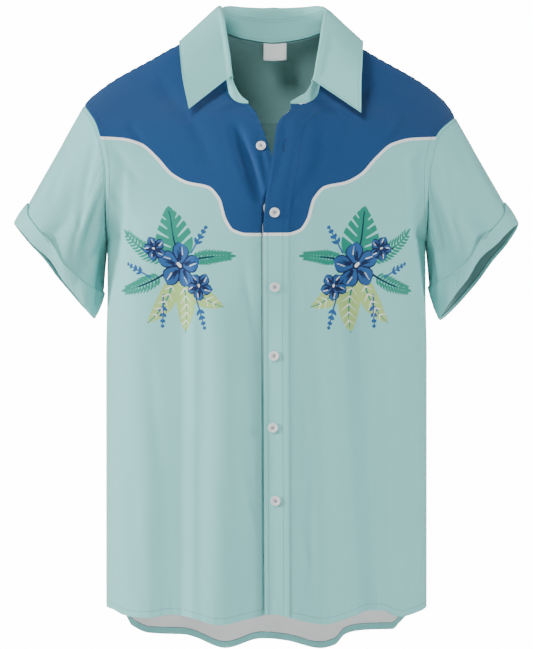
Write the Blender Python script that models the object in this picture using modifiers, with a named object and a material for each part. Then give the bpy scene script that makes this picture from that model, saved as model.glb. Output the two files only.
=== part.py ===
"""A short-sleeved button-through shirt, filled out and hollow, as its sewn pieces of cloth.

X is right as seen from the front, the front faces -Y and Z is up, in metres. The origin lies between
the shoulders where they carry the shirt. "right" and "left" are the wearer's, so right is at -X.
Every panel is a grid of points on its outer face, given a wall of cloth, and the panels meet at
seams with a small gap.
"""

import bmesh
import bpy
import numpy as np
from math import pi, radians
from mathutils import Vector

# Driving sizes
CLOTH = 0.0012  # wall of a panel
COLLAR_CLOTH = 0.0016  # wall of the stiffened collar pieces
SEAM = 0.0003  # gap between two sewn edges, and under what lies on a panel
SIGN = {"right": -1, "left": 1}

NECK_X = 0.009  # the collar sits a little towards the wearer's left
NECK_FRONT_Z = -0.097
ARMPIT_Z = -0.270
ARMHOLE_HALF_DEPTH = 0.085
ARMHOLE_LEAN = 0.3  # least sideways share of a body panel's edge direction there
CHEST_ROW_Z = -0.262  # centre of the girth row that ends at the armpits
YOKE_Z = -0.108  # yoke seam at the centre back
SIDE_HEM_Z = -0.742
SQUARENESS = 0.13  # how much boxier than an ellipse the body is in plan
ARMPIT_SQUARENESS = 0.24  # and beside the armpits
LEAST_BEND = radians(27)  # the part of the oval that a row near the shoulder still follows

LAP_LIFT = 0.0034  # how far the top front stands off the one under it
PLACKET_WIDTH = 0.0325
PLACKET_COLUMNS = 3
CUFF_CLOTH = 0.0014
# Rows below the cuff's upper line (1) and above its rim (2); the sleeve's cloth ends at the second
CUFF_LEVELS = (1.5, 1.915, 1.93, 2.0)

BUTTON_RADIUS = 0.0063
BUTTON_THICKNESS = 0.0026
BUTTON_HOLE_RADIUS = 0.0009
BUTTON_HOLE_SPREAD = 0.0016

LABEL_X = (-0.0037, 0.0262)
LABEL_HEIGHT = 0.0225
LABEL_CLOTH = 0.001
LABEL_DROP, LABEL_STAND_OFF, LABEL_CURL = 0.0015, 0.0035, 0.002
LABEL_ROWS, LABEL_COLUMNS = 3, 4

# Rows from hem to armpit, round the armhole beside the front edge, and beside the neck
SIDE_ROWS, CHEST_ROWS, NECK_ROWS = 13, 8, 7
NECK_SHARE = 0.70  # share of the armhole that lies beside the front edge
YOKE_SHARE = 0.75  # share of the armhole below the yoke seam
BACK_ARM_ROWS, YOKE_ROWS = 6, 5
FRONT_COLUMNS = 13  # columns beyond the placket
SHOULDER_COLUMNS, NECK_BACK_COLUMNS = 8, 6  # yoke columns on each side
SLEEVE_ROWS = 6

# The shoulder seam from neck to sleeve: distance out and height
SHOULDER_LINE = ("x", "z"), (
    (0.060, 0.006),
    (0.083, -0.002),
    (0.114, -0.013),
    (0.151, -0.0335),
    (0.198, -0.060),
    (0.216, -0.073),
    (0.231, -0.086),
    (0.240, -0.098),
    (0.248, -0.113),
)
# Half of the neck seam: distance from the neck's centre, depth and height
NECK_LINE = ("x", "y", "z"), (
    (0.015, -0.0770, -0.0975),
    (0.042, -0.0700, -0.0955),
    (0.057, -0.0550, -0.0820),
    (0.063, -0.0270, -0.0370),
    (0.067, 0.0000, 0.0030),
    (0.062, 0.0300, 0.0040),
    (0.040, 0.0530, -0.0010),
    (0.000, 0.0610, -0.0055),
)
NECK_FRONT_OUT = {"right": 0.0325, "left": 0.0219}  # where each front's neck seam starts
# Free edge of each front from the neck down
FRONT_EDGE = {
    "right": (("z", "x"), (
        (-0.097, -0.0235),
        (-0.105, -0.0160),
        (-0.126, -0.0062),
        (-0.147, 0.0010),
        (-0.164, 0.0067),
        (-0.222, 0.0270),
        (-0.245, 0.0290),
        (-0.760, 0.0290),
    )),
    "left": (("z", "x"), (
        (-0.097, 0.0309),
        (-0.105, 0.0300),
        (-0.115, 0.0195),
        (-0.126, 0.0130),
        (-0.140, 0.0108),
        (-0.160, 0.0082),
        (-0.192, 0.0034),
        (-0.223, -0.0014),
        (-0.260, -0.0040),
        (-0.760, -0.0022),
    )),
}
# Depth of the body at its centre
FRONT_DEPTH = ("z", "y"), (
    (-0.097, 0.0765),
    (-0.130, 0.0950),
    (-0.170, 0.1110),
    (-0.220, 0.1240),
    (-0.270, 0.1310),
    (-0.350, 0.1350),
    (-0.760, 0.1330),
)
BACK_DEPTH = ("z", "y"), (
    (-0.108, 0.1160),
    (-0.170, 0.1290),
    (-0.250, 0.1330),
    (-0.400, 0.1280),
    (-0.550, 0.1260),
    (-0.820, 0.1330),
)
SIDE_LINE = ("z", "x"), (
    (-0.270, 0.2065),
    (-0.330, 0.2065),
    (-0.420, 0.2082),
    (-0.745, 0.2082),
)
# The armhole seam in the front view, from the shoulder to the armpit
ARMHOLE = {
    "right": (("z", "x"), (
        (-0.0925, 0.2370),
        (-0.122, 0.2180),
        (-0.155, 0.2085),
        (-0.185, 0.2050),
        (-0.270, 0.2065),
    )),
    "left": (("z", "x"), (
        (-0.108, 0.2450),
        (-0.134, 0.2190),
        (-0.158, 0.2105),
        (-0.185, 0.2060),
        (-0.270, 0.2065),
    )),
}
# Hem edges across the front and the back
FRONT_HEM = ("x", "z"), (
    (-0.2082, -0.7420),
    (-0.1980, -0.7425),
    (-0.1820, -0.7475),
    (-0.1540, -0.7490),
    (-0.1240, -0.7440),
    (-0.0970, -0.7465),
    (-0.059, -0.754),
    (-0.019, -0.746),
    (0.010, -0.741),
    (0.049, -0.750),
    (0.072, -0.7535),
    (0.118, -0.7440),
    (0.133, -0.7385),
    (0.151, -0.7395),
    (0.164, -0.7470),
    (0.180, -0.7490),
    (0.198, -0.7450),
    (0.2082, -0.7420),
)
BACK_HEM = ("x", "z"), (
    (-0.2082, -0.7420),
    (-0.1985, -0.7490),
    (-0.1880, -0.7620),
    (-0.1810, -0.7770),
    (-0.1560, -0.7895),
    (-0.1135, -0.7930),
    (-0.0990, -0.7970),
    (-0.055, -0.8135),
    (-0.009, -0.800),
    (0.025, -0.8025),
    (0.072, -0.8135),
    (0.0930, -0.8080),
    (0.1080, -0.7930),
    (0.1270, -0.7870),
    (0.1700, -0.7830),
    (0.1800, -0.7725),
    (0.1870, -0.7630),
    (0.1975, -0.7500),
    (0.2082, -0.7420),
)
# Soft folds: where each trough starts and ends, how far it spreads to -X and +X, and its depth.
# A negative depth is a ridge.
FOLD_COLUMNS = ("x_top", "z_top", "x_end", "z_end", "spread_low", "spread_high", "depth")
FRONT_FOLDS = FOLD_COLUMNS, (
    (-0.048, -0.104, -0.006, -0.235, 0.016, 0.014, 0.0055),  # roll beside the open neck, right
    (0.072, -0.104, 0.026, -0.225, 0.016, 0.018, 0.0035),  # and left
    (-0.112, -0.250, -0.114, -0.790, 0.062, 0.024, 0.0105),
    (-0.004, -0.330, 0.004, -0.790, 0.050, 0.034, 0.0070),
    (0.084, -0.250, 0.125, -0.790, 0.056, 0.024, 0.0105),
    (0.176, -0.420, 0.186, -0.790, 0.026, 0.018, 0.0035),
    (-0.184, -0.150, -0.190, -0.330, 0.016, 0.012, 0.0040),
    (0.186, -0.130, 0.190, -0.300, 0.014, 0.014, 0.0040),
    (-0.064, -0.300, -0.062, -0.790, 0.030, 0.034, -0.0040),
    (0.060, -0.300, 0.062, -0.790, 0.034, 0.030, -0.0035),
)
BACK_FOLDS = FOLD_COLUMNS, (
    (-0.118, -0.150, -0.128, -0.850, 0.040, 0.046, 0.0100),
    (-0.030, -0.260, -0.014, -0.850, 0.040, 0.034, 0.0090),
    (0.040, -0.180, 0.026, -0.850, 0.032, 0.040, 0.0065),
    (0.120, -0.160, 0.122, -0.850, 0.044, 0.036, 0.0105),
    (-0.170, -0.300, -0.176, -0.850, 0.020, 0.022, 0.0040),
    (0.170, -0.260, 0.178, -0.850, 0.020, 0.022, 0.0040),
)
# Sleeve ends in the front view: the cuff's upper line and the sleeve's lower rim, outer and inner end
SLEEVE_END = {
    "right": {
        "line_out": (-0.3090, -0.2205), "line_in": (-0.2180, -0.3370),
        "rim_out": (-0.3280, -0.2475), "rim_in": (-0.2245, -0.3700),
    },
    "left": {
        "line_out": (0.3085, -0.2195), "line_in": (0.2135, -0.3290),
        "rim_out": (0.3275, -0.2480), "rim_in": (0.2255, -0.3720),
    },
}
LINE_HALF_DEPTH, LINE_FRONT_SAG = 0.074, 0.012
RIM_HALF_DEPTH, RIM_TILT = 0.048, 0.008
# Folds along a sleeve, by the angle round it from the top over the front, in degrees
SLEEVE_FOLD_COLUMNS = ("angle_top", "angle_end", "spread", "depth", "start", "end")
SLEEVE_FOLDS = SLEEVE_FOLD_COLUMNS, (
    (70, 82, 26, 0.0060, 0.15, 1.9),
    (122, 138, 18, -0.0060, 0.05, 1.6),
    (150, 158, 14, 0.0050, 0.05, 1.3),
    (36, 40, 20, -0.0035, 0.10, 1.2),
    (-60, -72, 26, 0.0050, 0.15, 1.9),
    (-118, -130, 20, -0.0050, 0.10, 1.6),
)
# The stand, by share of the neck seam from a front end to the centre back
STAND = ("share", "height", "lean_in"), (
    (0.00, 0.0035, 0.00),
    (0.06, 0.0110, 0.05),
    (0.14, 0.0165, 0.12),
    (0.26, 0.0225, 0.12),
    (0.45, 0.0260, -0.06),
    (0.62, 0.0275, -0.10),
    (1.00, 0.0300, 0.04),
)
# The leaf, by share from its front edge to the centre back: rise above the stand and roll outwards,
# then its free edge, measured out from the neck's centre
LEAF_START = 2  # neck columns between the stand's front end and the leaf
LEAF_ROLL = ("share", "rise", "roll"), (
    (0.00, 0.0025, 0.0050),
    (0.35, 0.0025, 0.0055),
    (0.55, 0.0035, 0.0060),
    (0.70, 0.0110, 0.0060),
    (1.00, 0.0165, 0.0060),
)
LEAF_EDGE = ("share", "x", "y", "z", "left_out"), (  # left_out: how much farther out on the left
    (0.00, 0.1075, -0.0860, -0.1040, 0.0036),
    (0.22, 0.1170, -0.0660, -0.0570, -0.0045),
    (0.44, 0.1215, -0.0150, -0.0110, -0.0060),
    (0.56, 0.1180, 0.0250, -0.0090, -0.0060),
    (0.72, 0.0960, 0.0620, -0.0120, -0.0040),
    (0.86, 0.0520, 0.0800, -0.0120, -0.0020),
    (1.00, 0.0000, 0.0850, -0.0120, 0.0000),
)
LEFT_POINT_DROP = 0.0050  # the left point hangs that much lower
# Buttons: distance from the front's free edge and height; the first one is on the right front
BUTTONS = ("edge", "z"), (
    (0.0095, -0.1525),
    (0.0130, -0.2380),
    (0.0145, -0.3310),
    (0.0145, -0.4170),
    (0.0125, -0.5070),
    (0.0155, -0.5985),
)

TEAL, BLUE, WHITE = (0.42, 0.60, 0.59), (0.026, 0.115, 0.29), (0.82, 0.82, 0.80)


# Reading tables and smoothing

def column(table, name):
    names, rows = table
    return np.array([row[names.index(name)] for row in rows], float)


def curve_through(stops, values, at):
    """A smooth curve through the values that never overshoots them."""
    if stops[0] > stops[-1]:
        stops, values = stops[::-1], values[::-1]
    gaps = np.diff(stops)
    slopes = np.diff(values) / gaps
    tangents = np.zeros(len(stops))
    same_way = slopes[1:] * slopes[:-1] > 0
    inner = 2 * slopes[1:] * slopes[:-1] / np.where(same_way, slopes[1:] + slopes[:-1], 1)
    tangents[1:-1] = np.where(same_way, inner, 0)
    tangents[0], tangents[-1] = slopes[0], slopes[-1]
    at = np.clip(at, stops[0], stops[-1])
    place = np.clip(np.searchsorted(stops, at) - 1, 0, len(gaps) - 1)
    t, gap = (at - stops[place]) / gaps[place], gaps[place]
    return (
        values[place] * (2 * t**3 - 3 * t**2 + 1)
        + values[place + 1] * (3 * t**2 - 2 * t**3)
        + tangents[place] * gap * (t**3 - 2 * t**2 + t)
        + tangents[place + 1] * gap * (t**3 - t**2)
    )


def read(table, name, at):
    return curve_through(column(table, table[0][0]), column(table, name), np.asarray(at, float))


def smooth(low, high, value):
    t = np.clip((np.asarray(value, float) - low) / (high - low), 0, 1)
    return t * t * (3 - 2 * t)


def unit(vectors):
    return vectors / np.linalg.norm(vectors, axis=-1, keepdims=True)


def lengths(points):
    return np.r_[0, np.cumsum(np.linalg.norm(np.diff(points, axis=0), axis=1))]


def at_lengths(points, wanted):
    along = lengths(points)
    return np.stack([np.interp(wanted, along, points[:, k]) for k in range(3)], axis=1)


def grid_normals(grid, ring=False):
    """Unit normals of a grid of points, rows by columns; in a ring the columns close on themselves."""
    across = np.roll(grid, -1, 1) - np.roll(grid, 1, 1) if ring else np.gradient(grid, axis=1)
    return unit(np.cross(across, np.gradient(grid, axis=0)))


# Body

def fold_depth(table, x, z):
    """How far the folds press the cloth in at these places."""
    pressed = np.zeros(np.broadcast(x, z).shape)
    for fold in table[1]:
        x_top, z_top, x_end, z_end, spread_low, spread_high, depth = fold
        share = np.clip((z_top - z) / (z_top - z_end), 0, 1)
        off = x - (x_top + (x_end - x_top) * share)
        off = np.clip(off / np.where(off < 0, spread_low, spread_high), -1, 1)
        ends = smooth(z_top + 0.004, z_top - 0.075, z)
        if z_end > SIDE_HEM_Z:
            ends = ends * smooth(z_end - 0.004, z_end + 0.060, z)
        pressed = pressed + depth * (0.5 + 0.5 * np.cos(pi * off)) * ends
    return pressed


def press_folds(grid, table):
    """Moves a body grid in along the oval's own normals, by its folds."""
    half_width, half_depth = column(SIDE_LINE, "x")[-1], column(FRONT_DEPTH, "y")[-1]
    outward = unit(np.stack([
        grid[..., 0] / half_width**2, grid[..., 1] / half_depth**2, np.zeros(grid.shape[:2])
    ], axis=-1))
    return grid - outward * fold_depth(table, grid[..., 0], grid[..., 2])[..., None]


def armhole_point(side, angle):
    """A point of the armhole seam. The angle runs from the shoulder over the front (positive)."""
    table = ARMHOLE[side]
    top = column(table, "z")[0]
    z = (top + ARMPIT_Z) / 2 + (top - ARMPIT_Z) / 2 * np.cos(angle)
    return np.stack([
        SIGN[side] * read(table, "x", z), -ARMHOLE_HALF_DEPTH * np.sin(angle), z
    ], axis=-1)


def leaning_out(side, normal):
    """A panel's edge direction at the armhole, turned so that its wall stays clear of the sleeve's."""
    return unit(np.array([SIGN[side] * max(SIGN[side] * normal[0], ARMHOLE_LEAN), normal[1], normal[2]]))


def armhole_normal(side, angle, natural):
    """Near the shoulder both pieces that meet at the armhole share one edge direction."""
    radial = np.array([0.75 * SIGN[side], -np.sin(angle), np.cos(angle)])
    share = smooth(radians(80), radians(35), abs(angle))
    return unit(share * unit(radial) + (1 - share) * natural)


def side_edge(side, face, station):
    """A panel's outer edge: stations 0 to 1 climb the side seam, 1 to 2 the armhole."""
    if station <= 1:
        z = SIDE_HEM_Z + (ARMPIT_Z - SIDE_HEM_Z) * station
        return np.array([SIGN[side] * float(read(SIDE_LINE, "x", z)), 0.0, z])
    angle = (2 - station) * pi
    return armhole_point(side, angle if face == "front" else -angle)


def girth_row(inner, outer, station, count=161):
    """x and y along a row from its inner point out to the side or armhole, on a boxy oval about x = 0."""
    squareness = SQUARENESS + (ARMPIT_SQUARENESS - SQUARENESS) * smooth(0.6, 1, station)
    power = 1 - squareness * (1 - smooth(1, 1 + NECK_SHARE, station))
    cut = np.clip(outer[1] / inner[1], 0, 1) if station < 1 + NECK_SHARE else 1
    half = max(np.arccos(cut ** (1 / power)), LEAST_BEND)
    ratio = inner[0] / outer[0]
    start = np.sign(ratio) * np.arcsin(np.sin(half) * abs(ratio) ** (1 / power)) / half
    u = np.linspace(start, 1, count)
    out = np.sign(u) * np.abs(np.sin(half * u) / np.sin(half)) ** power
    level = np.clip(np.cos(half * u), 0, 1) ** power - max(np.cos(half), 0) ** power
    return out * outer[0], outer[1] + (inner[1] - outer[1]) * level / level[0]


def row_height(x, inner, outer, station, hem):
    """z along a row: the hem at the bottom, the shoulder line at the top."""
    share = np.clip((x - inner[0]) / (outer[0] - inner[0]), 0, 1)
    if station <= 1:
        chest = CHEST_ROW_Z + (ARMPIT_Z - CHEST_ROW_Z) * share**1.35
        return read(hem, "z", x) * (1 - station) + chest * station
    drop = share**1.35
    if station > 1 + NECK_SHARE:
        line = read(SHOULDER_LINE, "z", abs(x))
        line_drop = (line - line[0]) / (line[-1] - line[0])
        mix = float(smooth(1 + NECK_SHARE, 2, station))
        drop = drop * (1 - mix) + line_drop * mix
    return inner[2] + (outer[2] - inner[2]) * drop


def neck_seam(side):
    """The neck seam on one side, from the front end to the centre back, with its shoulder stop."""
    stops = np.arange(len(NECK_LINE[1]), dtype=float)
    fine = np.linspace(0, stops[-1], 400)
    x, y, z = (curve_through(stops, column(NECK_LINE, name), fine) for name in "xyz")
    points = np.stack([NECK_X + SIGN[side] * x, y, z], axis=1)
    start = int(np.argmin(abs(x[:150] - NECK_FRONT_OUT[side])))
    shoulder = int(np.argmin(abs(fine - 4)))
    points[:, 2] += np.interp(
        fine, [3, 4, 5], [0, float(read(SHOULDER_LINE, "z", abs(points[shoulder, 0]))) - z[shoulder], 0]
    )
    return points[start:shoulder + 1], points[shoulder:]


def neck_stations(side):
    """Even points of the neck seam: beside the front, then beside the yoke to the centre back."""
    front, back = neck_seam(side)
    return (
        at_lengths(front, np.linspace(0, lengths(front)[-1], NECK_ROWS + 1)),
        at_lengths(back, np.linspace(0, lengths(back)[-1], NECK_BACK_COLUMNS + 1)),
    )


def front_stations(side):
    """(station on the outer edge, point on the inner edge) of each row, from the hem up."""
    edge = FRONT_EDGE[side]
    low = float(read(FRONT_HEM, "z", read(edge, "x", SIDE_HEM_Z)))
    heights = [
        *np.linspace(low, CHEST_ROW_Z, SIDE_ROWS + 1),
        *np.linspace(CHEST_ROW_Z, NECK_FRONT_Z, CHEST_ROWS + 1)[1:],
    ]
    stations = [
        *np.linspace(0, 1, SIDE_ROWS + 1),
        *np.linspace(1, 1 + NECK_SHARE, CHEST_ROWS + 1)[1:],
        *np.linspace(1 + NECK_SHARE, 2, NECK_ROWS + 1)[1:],
    ]
    inner = [
        np.array([float(read(edge, "x", z)), -float(read(FRONT_DEPTH, "y", z)), z]) for z in heights
    ]
    return list(zip(stations, [*inner, *neck_stations(side)[0][1:]]))


def front_grid(side):
    """The outer face of a front: rows from the hem to the shoulder, columns from the free edge out."""
    band = np.linspace(0, PLACKET_WIDTH, PLACKET_COLUMNS + 1)
    rows = []
    for station, inner in front_stations(side):
        outer = side_edge(side, "front", station)
        x, y = girth_row(inner, outer, station)
        line = np.stack([x, y, row_height(x, inner, outer, station, FRONT_HEM)], axis=1)
        full = lengths(line)[-1]
        columns = [*band, *np.linspace(PLACKET_WIDTH, full, FRONT_COLUMNS + 1)[1:]]
        rows.append(at_lengths(line, columns))
    return np.array(rows)


def front_panel(side):
    """Outer grid of a front and the directions in which its wall goes."""
    grid = front_grid(side)
    seam_side, seam_top = grid[:, -1].copy(), grid[-1].copy()
    grid = press_folds(grid, FRONT_FOLDS)
    grid[:, -1], grid[-1] = seam_side, seam_top
    if side == "left":
        lift = smooth(0.060, 0.034, grid[..., 0]) * smooth(-0.085, -0.125, grid[..., 2])
        grid[..., 1] -= LAP_LIFT * lift
    normals = grid_normals(grid) * -SIGN[side]
    normals = outward_only(normals, grid)
    normals[:SIDE_ROWS + 1, -1, 1] = 0
    normals[-1, :, 1] = 0
    normals[:, -1] = unit(normals[:, -1])
    normals[-1] = unit(normals[-1])
    for row, (station, _) in enumerate(front_stations(side)):
        if station > 1:
            natural = leaning_out(side, normals[row, -1])
            normals[row, -1] = armhole_normal(side, (2 - station) * pi, natural)
    grid[:SIDE_ROWS + 1, -1, 1] -= SEAM / 2
    grid[-1, :, 1] -= SEAM / 2
    return grid, normals


def outward_only(normals, grid):
    """Turns a body panel's normals so that they point away from the body's axis."""
    away = (normals[..., 0] * grid[..., 0] + normals[..., 1] * grid[..., 1]).sum()
    return normals if away > 0 else -normals


def whole_girth(station, depth, height):
    """A back row from the right side to the left side, by even steps on each half."""
    halves = []
    for side in ("right", "left"):
        outer = side_edge(side, "back", station)
        inner = np.array([SIGN[side] * 1e-6, depth, height])
        x, y = girth_row(inner, outer, station)
        line = np.stack([x, y, row_height(x, inner, outer, station, BACK_HEM)], axis=1)
        steps = SHOULDER_COLUMNS + NECK_BACK_COLUMNS
        halves.append(at_lengths(line, np.linspace(0, lengths(line)[-1], steps + 1)))
    return np.array([*halves[0][::-1], *halves[1][1:]])


def back_stations():
    low = float(read(BACK_HEM, "z", 0.0))
    heights = [
        *np.linspace(low, CHEST_ROW_Z, SIDE_ROWS + 1),
        *np.linspace(CHEST_ROW_Z, YOKE_Z, BACK_ARM_ROWS + 1)[1:],
    ]
    stations = [
        *np.linspace(0, 1, SIDE_ROWS + 1),
        *np.linspace(1, 1 + YOKE_SHARE, BACK_ARM_ROWS + 1)[1:],
    ]
    return list(zip(stations, heights))


def back_panel():
    rows = [whole_girth(s, float(read(BACK_DEPTH, "y", z)), z) for s, z in back_stations()]
    grid = np.array(rows)
    right, left = grid[:, 0].copy(), grid[:, -1].copy()
    grid = press_folds(grid, BACK_FOLDS)
    grid[:, 0], grid[:, -1] = right, left
    normals = outward_only(grid_normals(grid), grid)
    for edge in (0, -1):
        normals[:SIDE_ROWS + 1, edge, 1] = 0
    normals[-1, :, 2] = 0
    normals = unit(normals)
    for row, (station, _) in enumerate(back_stations()):
        if station > 1:
            angle = -(2 - station) * pi
            for side, edge in (("right", 0), ("left", -1)):
                natural = leaning_out(side, normals[row, edge])
                normals[row, edge] = armhole_normal(side, angle, natural)
    for edge in (0, -1):
        grid[:SIDE_ROWS + 1, edge, 1] += SEAM / 2
    grid[-1, :, 2] -= SEAM / 2
    return grid, normals


def yoke_top():
    """The yoke's upper edge: right shoulder seam, round the back of the neck, left shoulder seam."""
    halves = []
    for side in ("right", "left"):
        neck = neck_stations(side)[1]
        tip = armhole_point(side, 0.0)
        x = np.linspace(neck[0, 0], tip[0], 80)
        line = np.stack([x, 0 * x, row_height(x, neck[0], tip, 2.0, None)], axis=1)
        seam = at_lengths(line, np.linspace(0, lengths(line)[-1], SHOULDER_COLUMNS + 1))
        halves.append(np.array([*seam[::-1], *neck[1:]]))
    return np.array([*halves[0], *halves[1][-2::-1]])


def yoke_panel(back_grid):
    """Columns bow out from the upper edge and come down to the back panel's top edge."""
    low = back_grid[-1] + np.array([0, 0, SEAM])
    top = yoke_top()
    turn = np.stack([
        0.5 * (low[:, 0] + top[:, 0]),
        0.86 * low[:, 1] + 0.14 * top[:, 1],
        0.80 * top[:, 2] + 0.20 * low[:, 2],
    ], axis=1)
    share = np.linspace(0, 1, YOKE_ROWS + 1)[:, None, None]
    grid = low * (1 - share) ** 2 + 2 * turn * share * (1 - share) + top * share**2
    angles = -np.linspace(1 - YOKE_SHARE, 0, YOKE_ROWS + 1) * pi
    columns = len(top)
    for side, edge, step in (("right", 0, 1), ("left", columns - 1, -1)):
        seam = armhole_point(side, angles)
        seam[0, 2] += SEAM / 2
        fix = seam - grid[:, edge]
        for k, weight in enumerate((1, 0.6, 0.25)):
            grid[:, edge + k * step] += fix * weight * (1 - (k > 0) * share[:, 0] ** 4)
    normals = grid_normals(grid)
    normals *= np.sign((normals[..., 1] + normals[..., 2]).sum())
    normals[0, :, 2] = 0
    normals[-1, :SHOULDER_COLUMNS + 1, 1] = 0
    normals[-1, -SHOULDER_COLUMNS - 1:, 1] = 0
    normals = unit(normals)
    for row, angle in enumerate(angles):
        normals[row, 0] = armhole_normal("right", angle, normals[row, 0])
        normals[row, -1] = armhole_normal("left", angle, normals[row, -1])
    grid[-1, :SHOULDER_COLUMNS + 1, 1] += SEAM / 2
    grid[-1, -SHOULDER_COLUMNS - 1:, 1] += SEAM / 2
    return grid, normals


# Sleeves

def sleeve_angles():
    """Angles round the sleeve, at the rows of the panels that it is sewn to."""
    front = (2 - np.r_[
        np.linspace(1, 1 + NECK_SHARE, CHEST_ROWS + 1),
        np.linspace(1 + NECK_SHARE, 2, NECK_ROWS + 1)[1:],
    ]) * pi
    back = (2 - np.r_[
        np.linspace(1, 1 + YOKE_SHARE, BACK_ARM_ROWS + 1),
        np.linspace(1 + YOKE_SHARE, 2, YOKE_ROWS + 1)[1:],
    ]) * pi
    return np.r_[front[::-1], -back[1:-1] + 2 * pi]


def sleeve_ring(side, angle, low):
    """The ring at the cuff's upper line, or at the sleeve's rim where low is true."""
    ends = SLEEVE_END[side]
    names = ("rim_out", "rim_in") if low else ("line_out", "line_in")
    out, into = (np.array([ends[name][0], 0, ends[name][1]]) for name in names)
    middle, major = (out + into) / 2, (out - into) / 2
    down = unit(np.cross(major, [0, 1, 0]) * -SIGN[side])
    front = np.sin(angle)[:, None]
    shift = -RIM_TILT * front if low else LINE_FRONT_SAG * np.clip(front, 0, 1) ** 2
    half_depth = RIM_HALF_DEPTH if low else LINE_HALF_DEPTH
    return (
        middle + major * np.cos(angle)[:, None] + down * shift
        + np.array([0, -half_depth, 0]) * front
    )


def sleeve_grid(side, rows):
    """Rings of the sleeve. Row 0 is the armhole, 1 the cuff's upper line and 2 the rim."""
    angle = sleeve_angles()
    start = armhole_point(side, angle)
    line, rim = sleeve_ring(side, angle, False), sleeve_ring(side, angle, True)
    grid = []
    for row in rows:
        grid.append(start + (line - start) * row if row <= 1 else line + (rim - line) * (row - 1))
    grid = np.array(grid)
    outward = sleeve_normals(grid)
    degrees_round = np.degrees(angle)
    for index, row in enumerate(rows):
        press = np.zeros(len(angle))
        for at_top, at_end, spread, depth, first, last in SLEEVE_FOLDS[1]:
            centre = at_top + (at_end - at_top) * min(row, 1)
            off = (degrees_round - centre + 180) % 360 - 180
            ends = smooth(first, first + 0.45, row) * smooth(last + 0.6, last - 0.2, row)
            press += depth * ends * (0.5 + 0.5 * np.cos(pi * np.clip(off / spread, -1, 1)))
        grid[index] -= outward[index] * press[:, None]
    return grid


def sleeve_normals(grid):
    normals = grid_normals(grid, ring=True)
    away = ((grid - grid.mean(axis=1, keepdims=True)) * normals).sum()
    return normals if away > 0 else -normals


def sleeve_and_cuff(side):
    """The grid of the sleeve, of which the last four rows carry the cuff, and its normals."""
    grid = sleeve_grid(side, [*np.linspace(0, 1, SLEEVE_ROWS + 1), *CUFF_LEVELS])
    return grid, sleeve_normals(grid)


def sleeve_panel(side):
    grid, normals = sleeve_and_cuff(side)
    grid, normals = grid[:-2].copy(), normals[:-2].copy()
    for place, angle in enumerate(sleeve_angles()):
        turned = (angle + pi) % (2 * pi) - pi
        normals[0, place] = armhole_normal(side, turned, normals[0, place])
    grid[0, :, 0] += SIGN[side] * SEAM
    return grid, normals


def cuff_sections(side):
    """Closed sections round the cuff: down the inner face, under the sleeve's end, up outside."""
    grid, normals = sleeve_and_cuff(side)
    inner, outer = SEAM, SEAM + CUFF_CLOTH
    line, middle, _, turn, rim = range(SLEEVE_ROWS, SLEEVE_ROWS + 5)
    steps = (
        (line, inner), (middle, inner + 0.0006), (turn, inner), (turn, -CLOTH),
        (rim, -0.0009), (rim, 0.0003), (turn, outer), (middle, outer + 0.0009), (line, outer),
    )
    return np.array([grid[row] + normals[row] * out for row, out in steps])


# Collar

def whole_neck():
    """The neck seam from the right front end round the back to the left one, with each side's share."""
    halves, shares = [], []
    for side in ("right", "left"):
        front, back = neck_stations(side)
        half = np.array([*front, *back[1:]])
        halves.append(half)
        shares.append(lengths(half) / lengths(half)[-1])
    return np.array([*halves[0], *halves[1][-2::-1]]), np.r_[shares[0], shares[1][-2::-1]]


def neck_frames(seam):
    """Level outward directions round the neck seam."""
    along = np.gradient(seam, axis=0)
    outward = np.cross(along, [0, 0, 1])
    outward[:, 2] = 0
    outward = unit(outward)
    centre = np.array([NECK_X, seam[:, 1].mean(), 0])
    away = ((seam - centre) * outward).sum()
    return outward if away > 0 else -outward


def stand_rows():
    """Stand points row by row: sewn edge, middle and upper edge, with outward directions."""
    seam, share = whole_neck()
    outward = neck_frames(seam)
    height, lean = read(STAND, "height", share), read(STAND, "lean_in", share)
    across = np.cross(unit(np.gradient(seam, axis=0)), outward)
    across *= np.sign(across[:, 2:])
    rise = unit(across + np.array([0, 0, 0.6]) - outward * lean[:, None])
    rows = [seam + rise * (SEAM + (height[:, None] - SEAM) * level) for level in (0, 0.5, 1)]
    return np.array(rows), outward, rise, share


def leaf_panel():
    """Middle surface of the leaf: up from the stand, over the roll and down to the free edge."""
    rows, outward, rise, share = stand_rows()
    keep = slice(LEAF_START, len(share) - LEAF_START)
    top, outward, rise = rows[-1][keep], outward[keep], rise[keep]
    top = top - outward * COLLAR_CLOTH / 2
    count = len(top)
    half = np.linspace(0, 1, count // 2 + 1)
    local = np.r_[half, half[-2::-1]]
    side = np.r_[-np.ones(count // 2 + 1), np.ones(count // 2)]
    lift, roll = read(LEAF_ROLL, "rise", local)[:, None], read(LEAF_ROLL, "roll", local)[:, None]
    left = side > 0
    edge = np.stack([
        NECK_X + side * (read(LEAF_EDGE, "x", local) + left * read(LEAF_EDGE, "left_out", local)),
        read(LEAF_EDGE, "y", local),
        read(LEAF_EDGE, "z", local) - left * smooth(0.3, 0, local) * LEFT_POINT_DROP,
    ], axis=1)
    start = top + rise * SEAM
    crest = start + rise * lift + outward * roll * 0.45
    fall = start + rise * (lift - 0.0035) + outward * (roll + 0.0020)
    grid = [start, start + rise * lift * 0.7, crest, fall]
    bow = (outward * 0.003 + np.array([0, 0, 0.003])) * smooth(0.6, 0.9, local)[:, None]
    for level in (0.25, 0.5, 0.75, 1.0):
        grid.append(fall + (edge - fall) * level + bow * 4 * level * (1 - level))
    grid = np.array(grid)
    normals = grid_normals(grid)
    normals *= np.sign((normals[0] * outward).sum())
    normals[0] = outward
    return grid, normals


# Making solids

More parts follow.
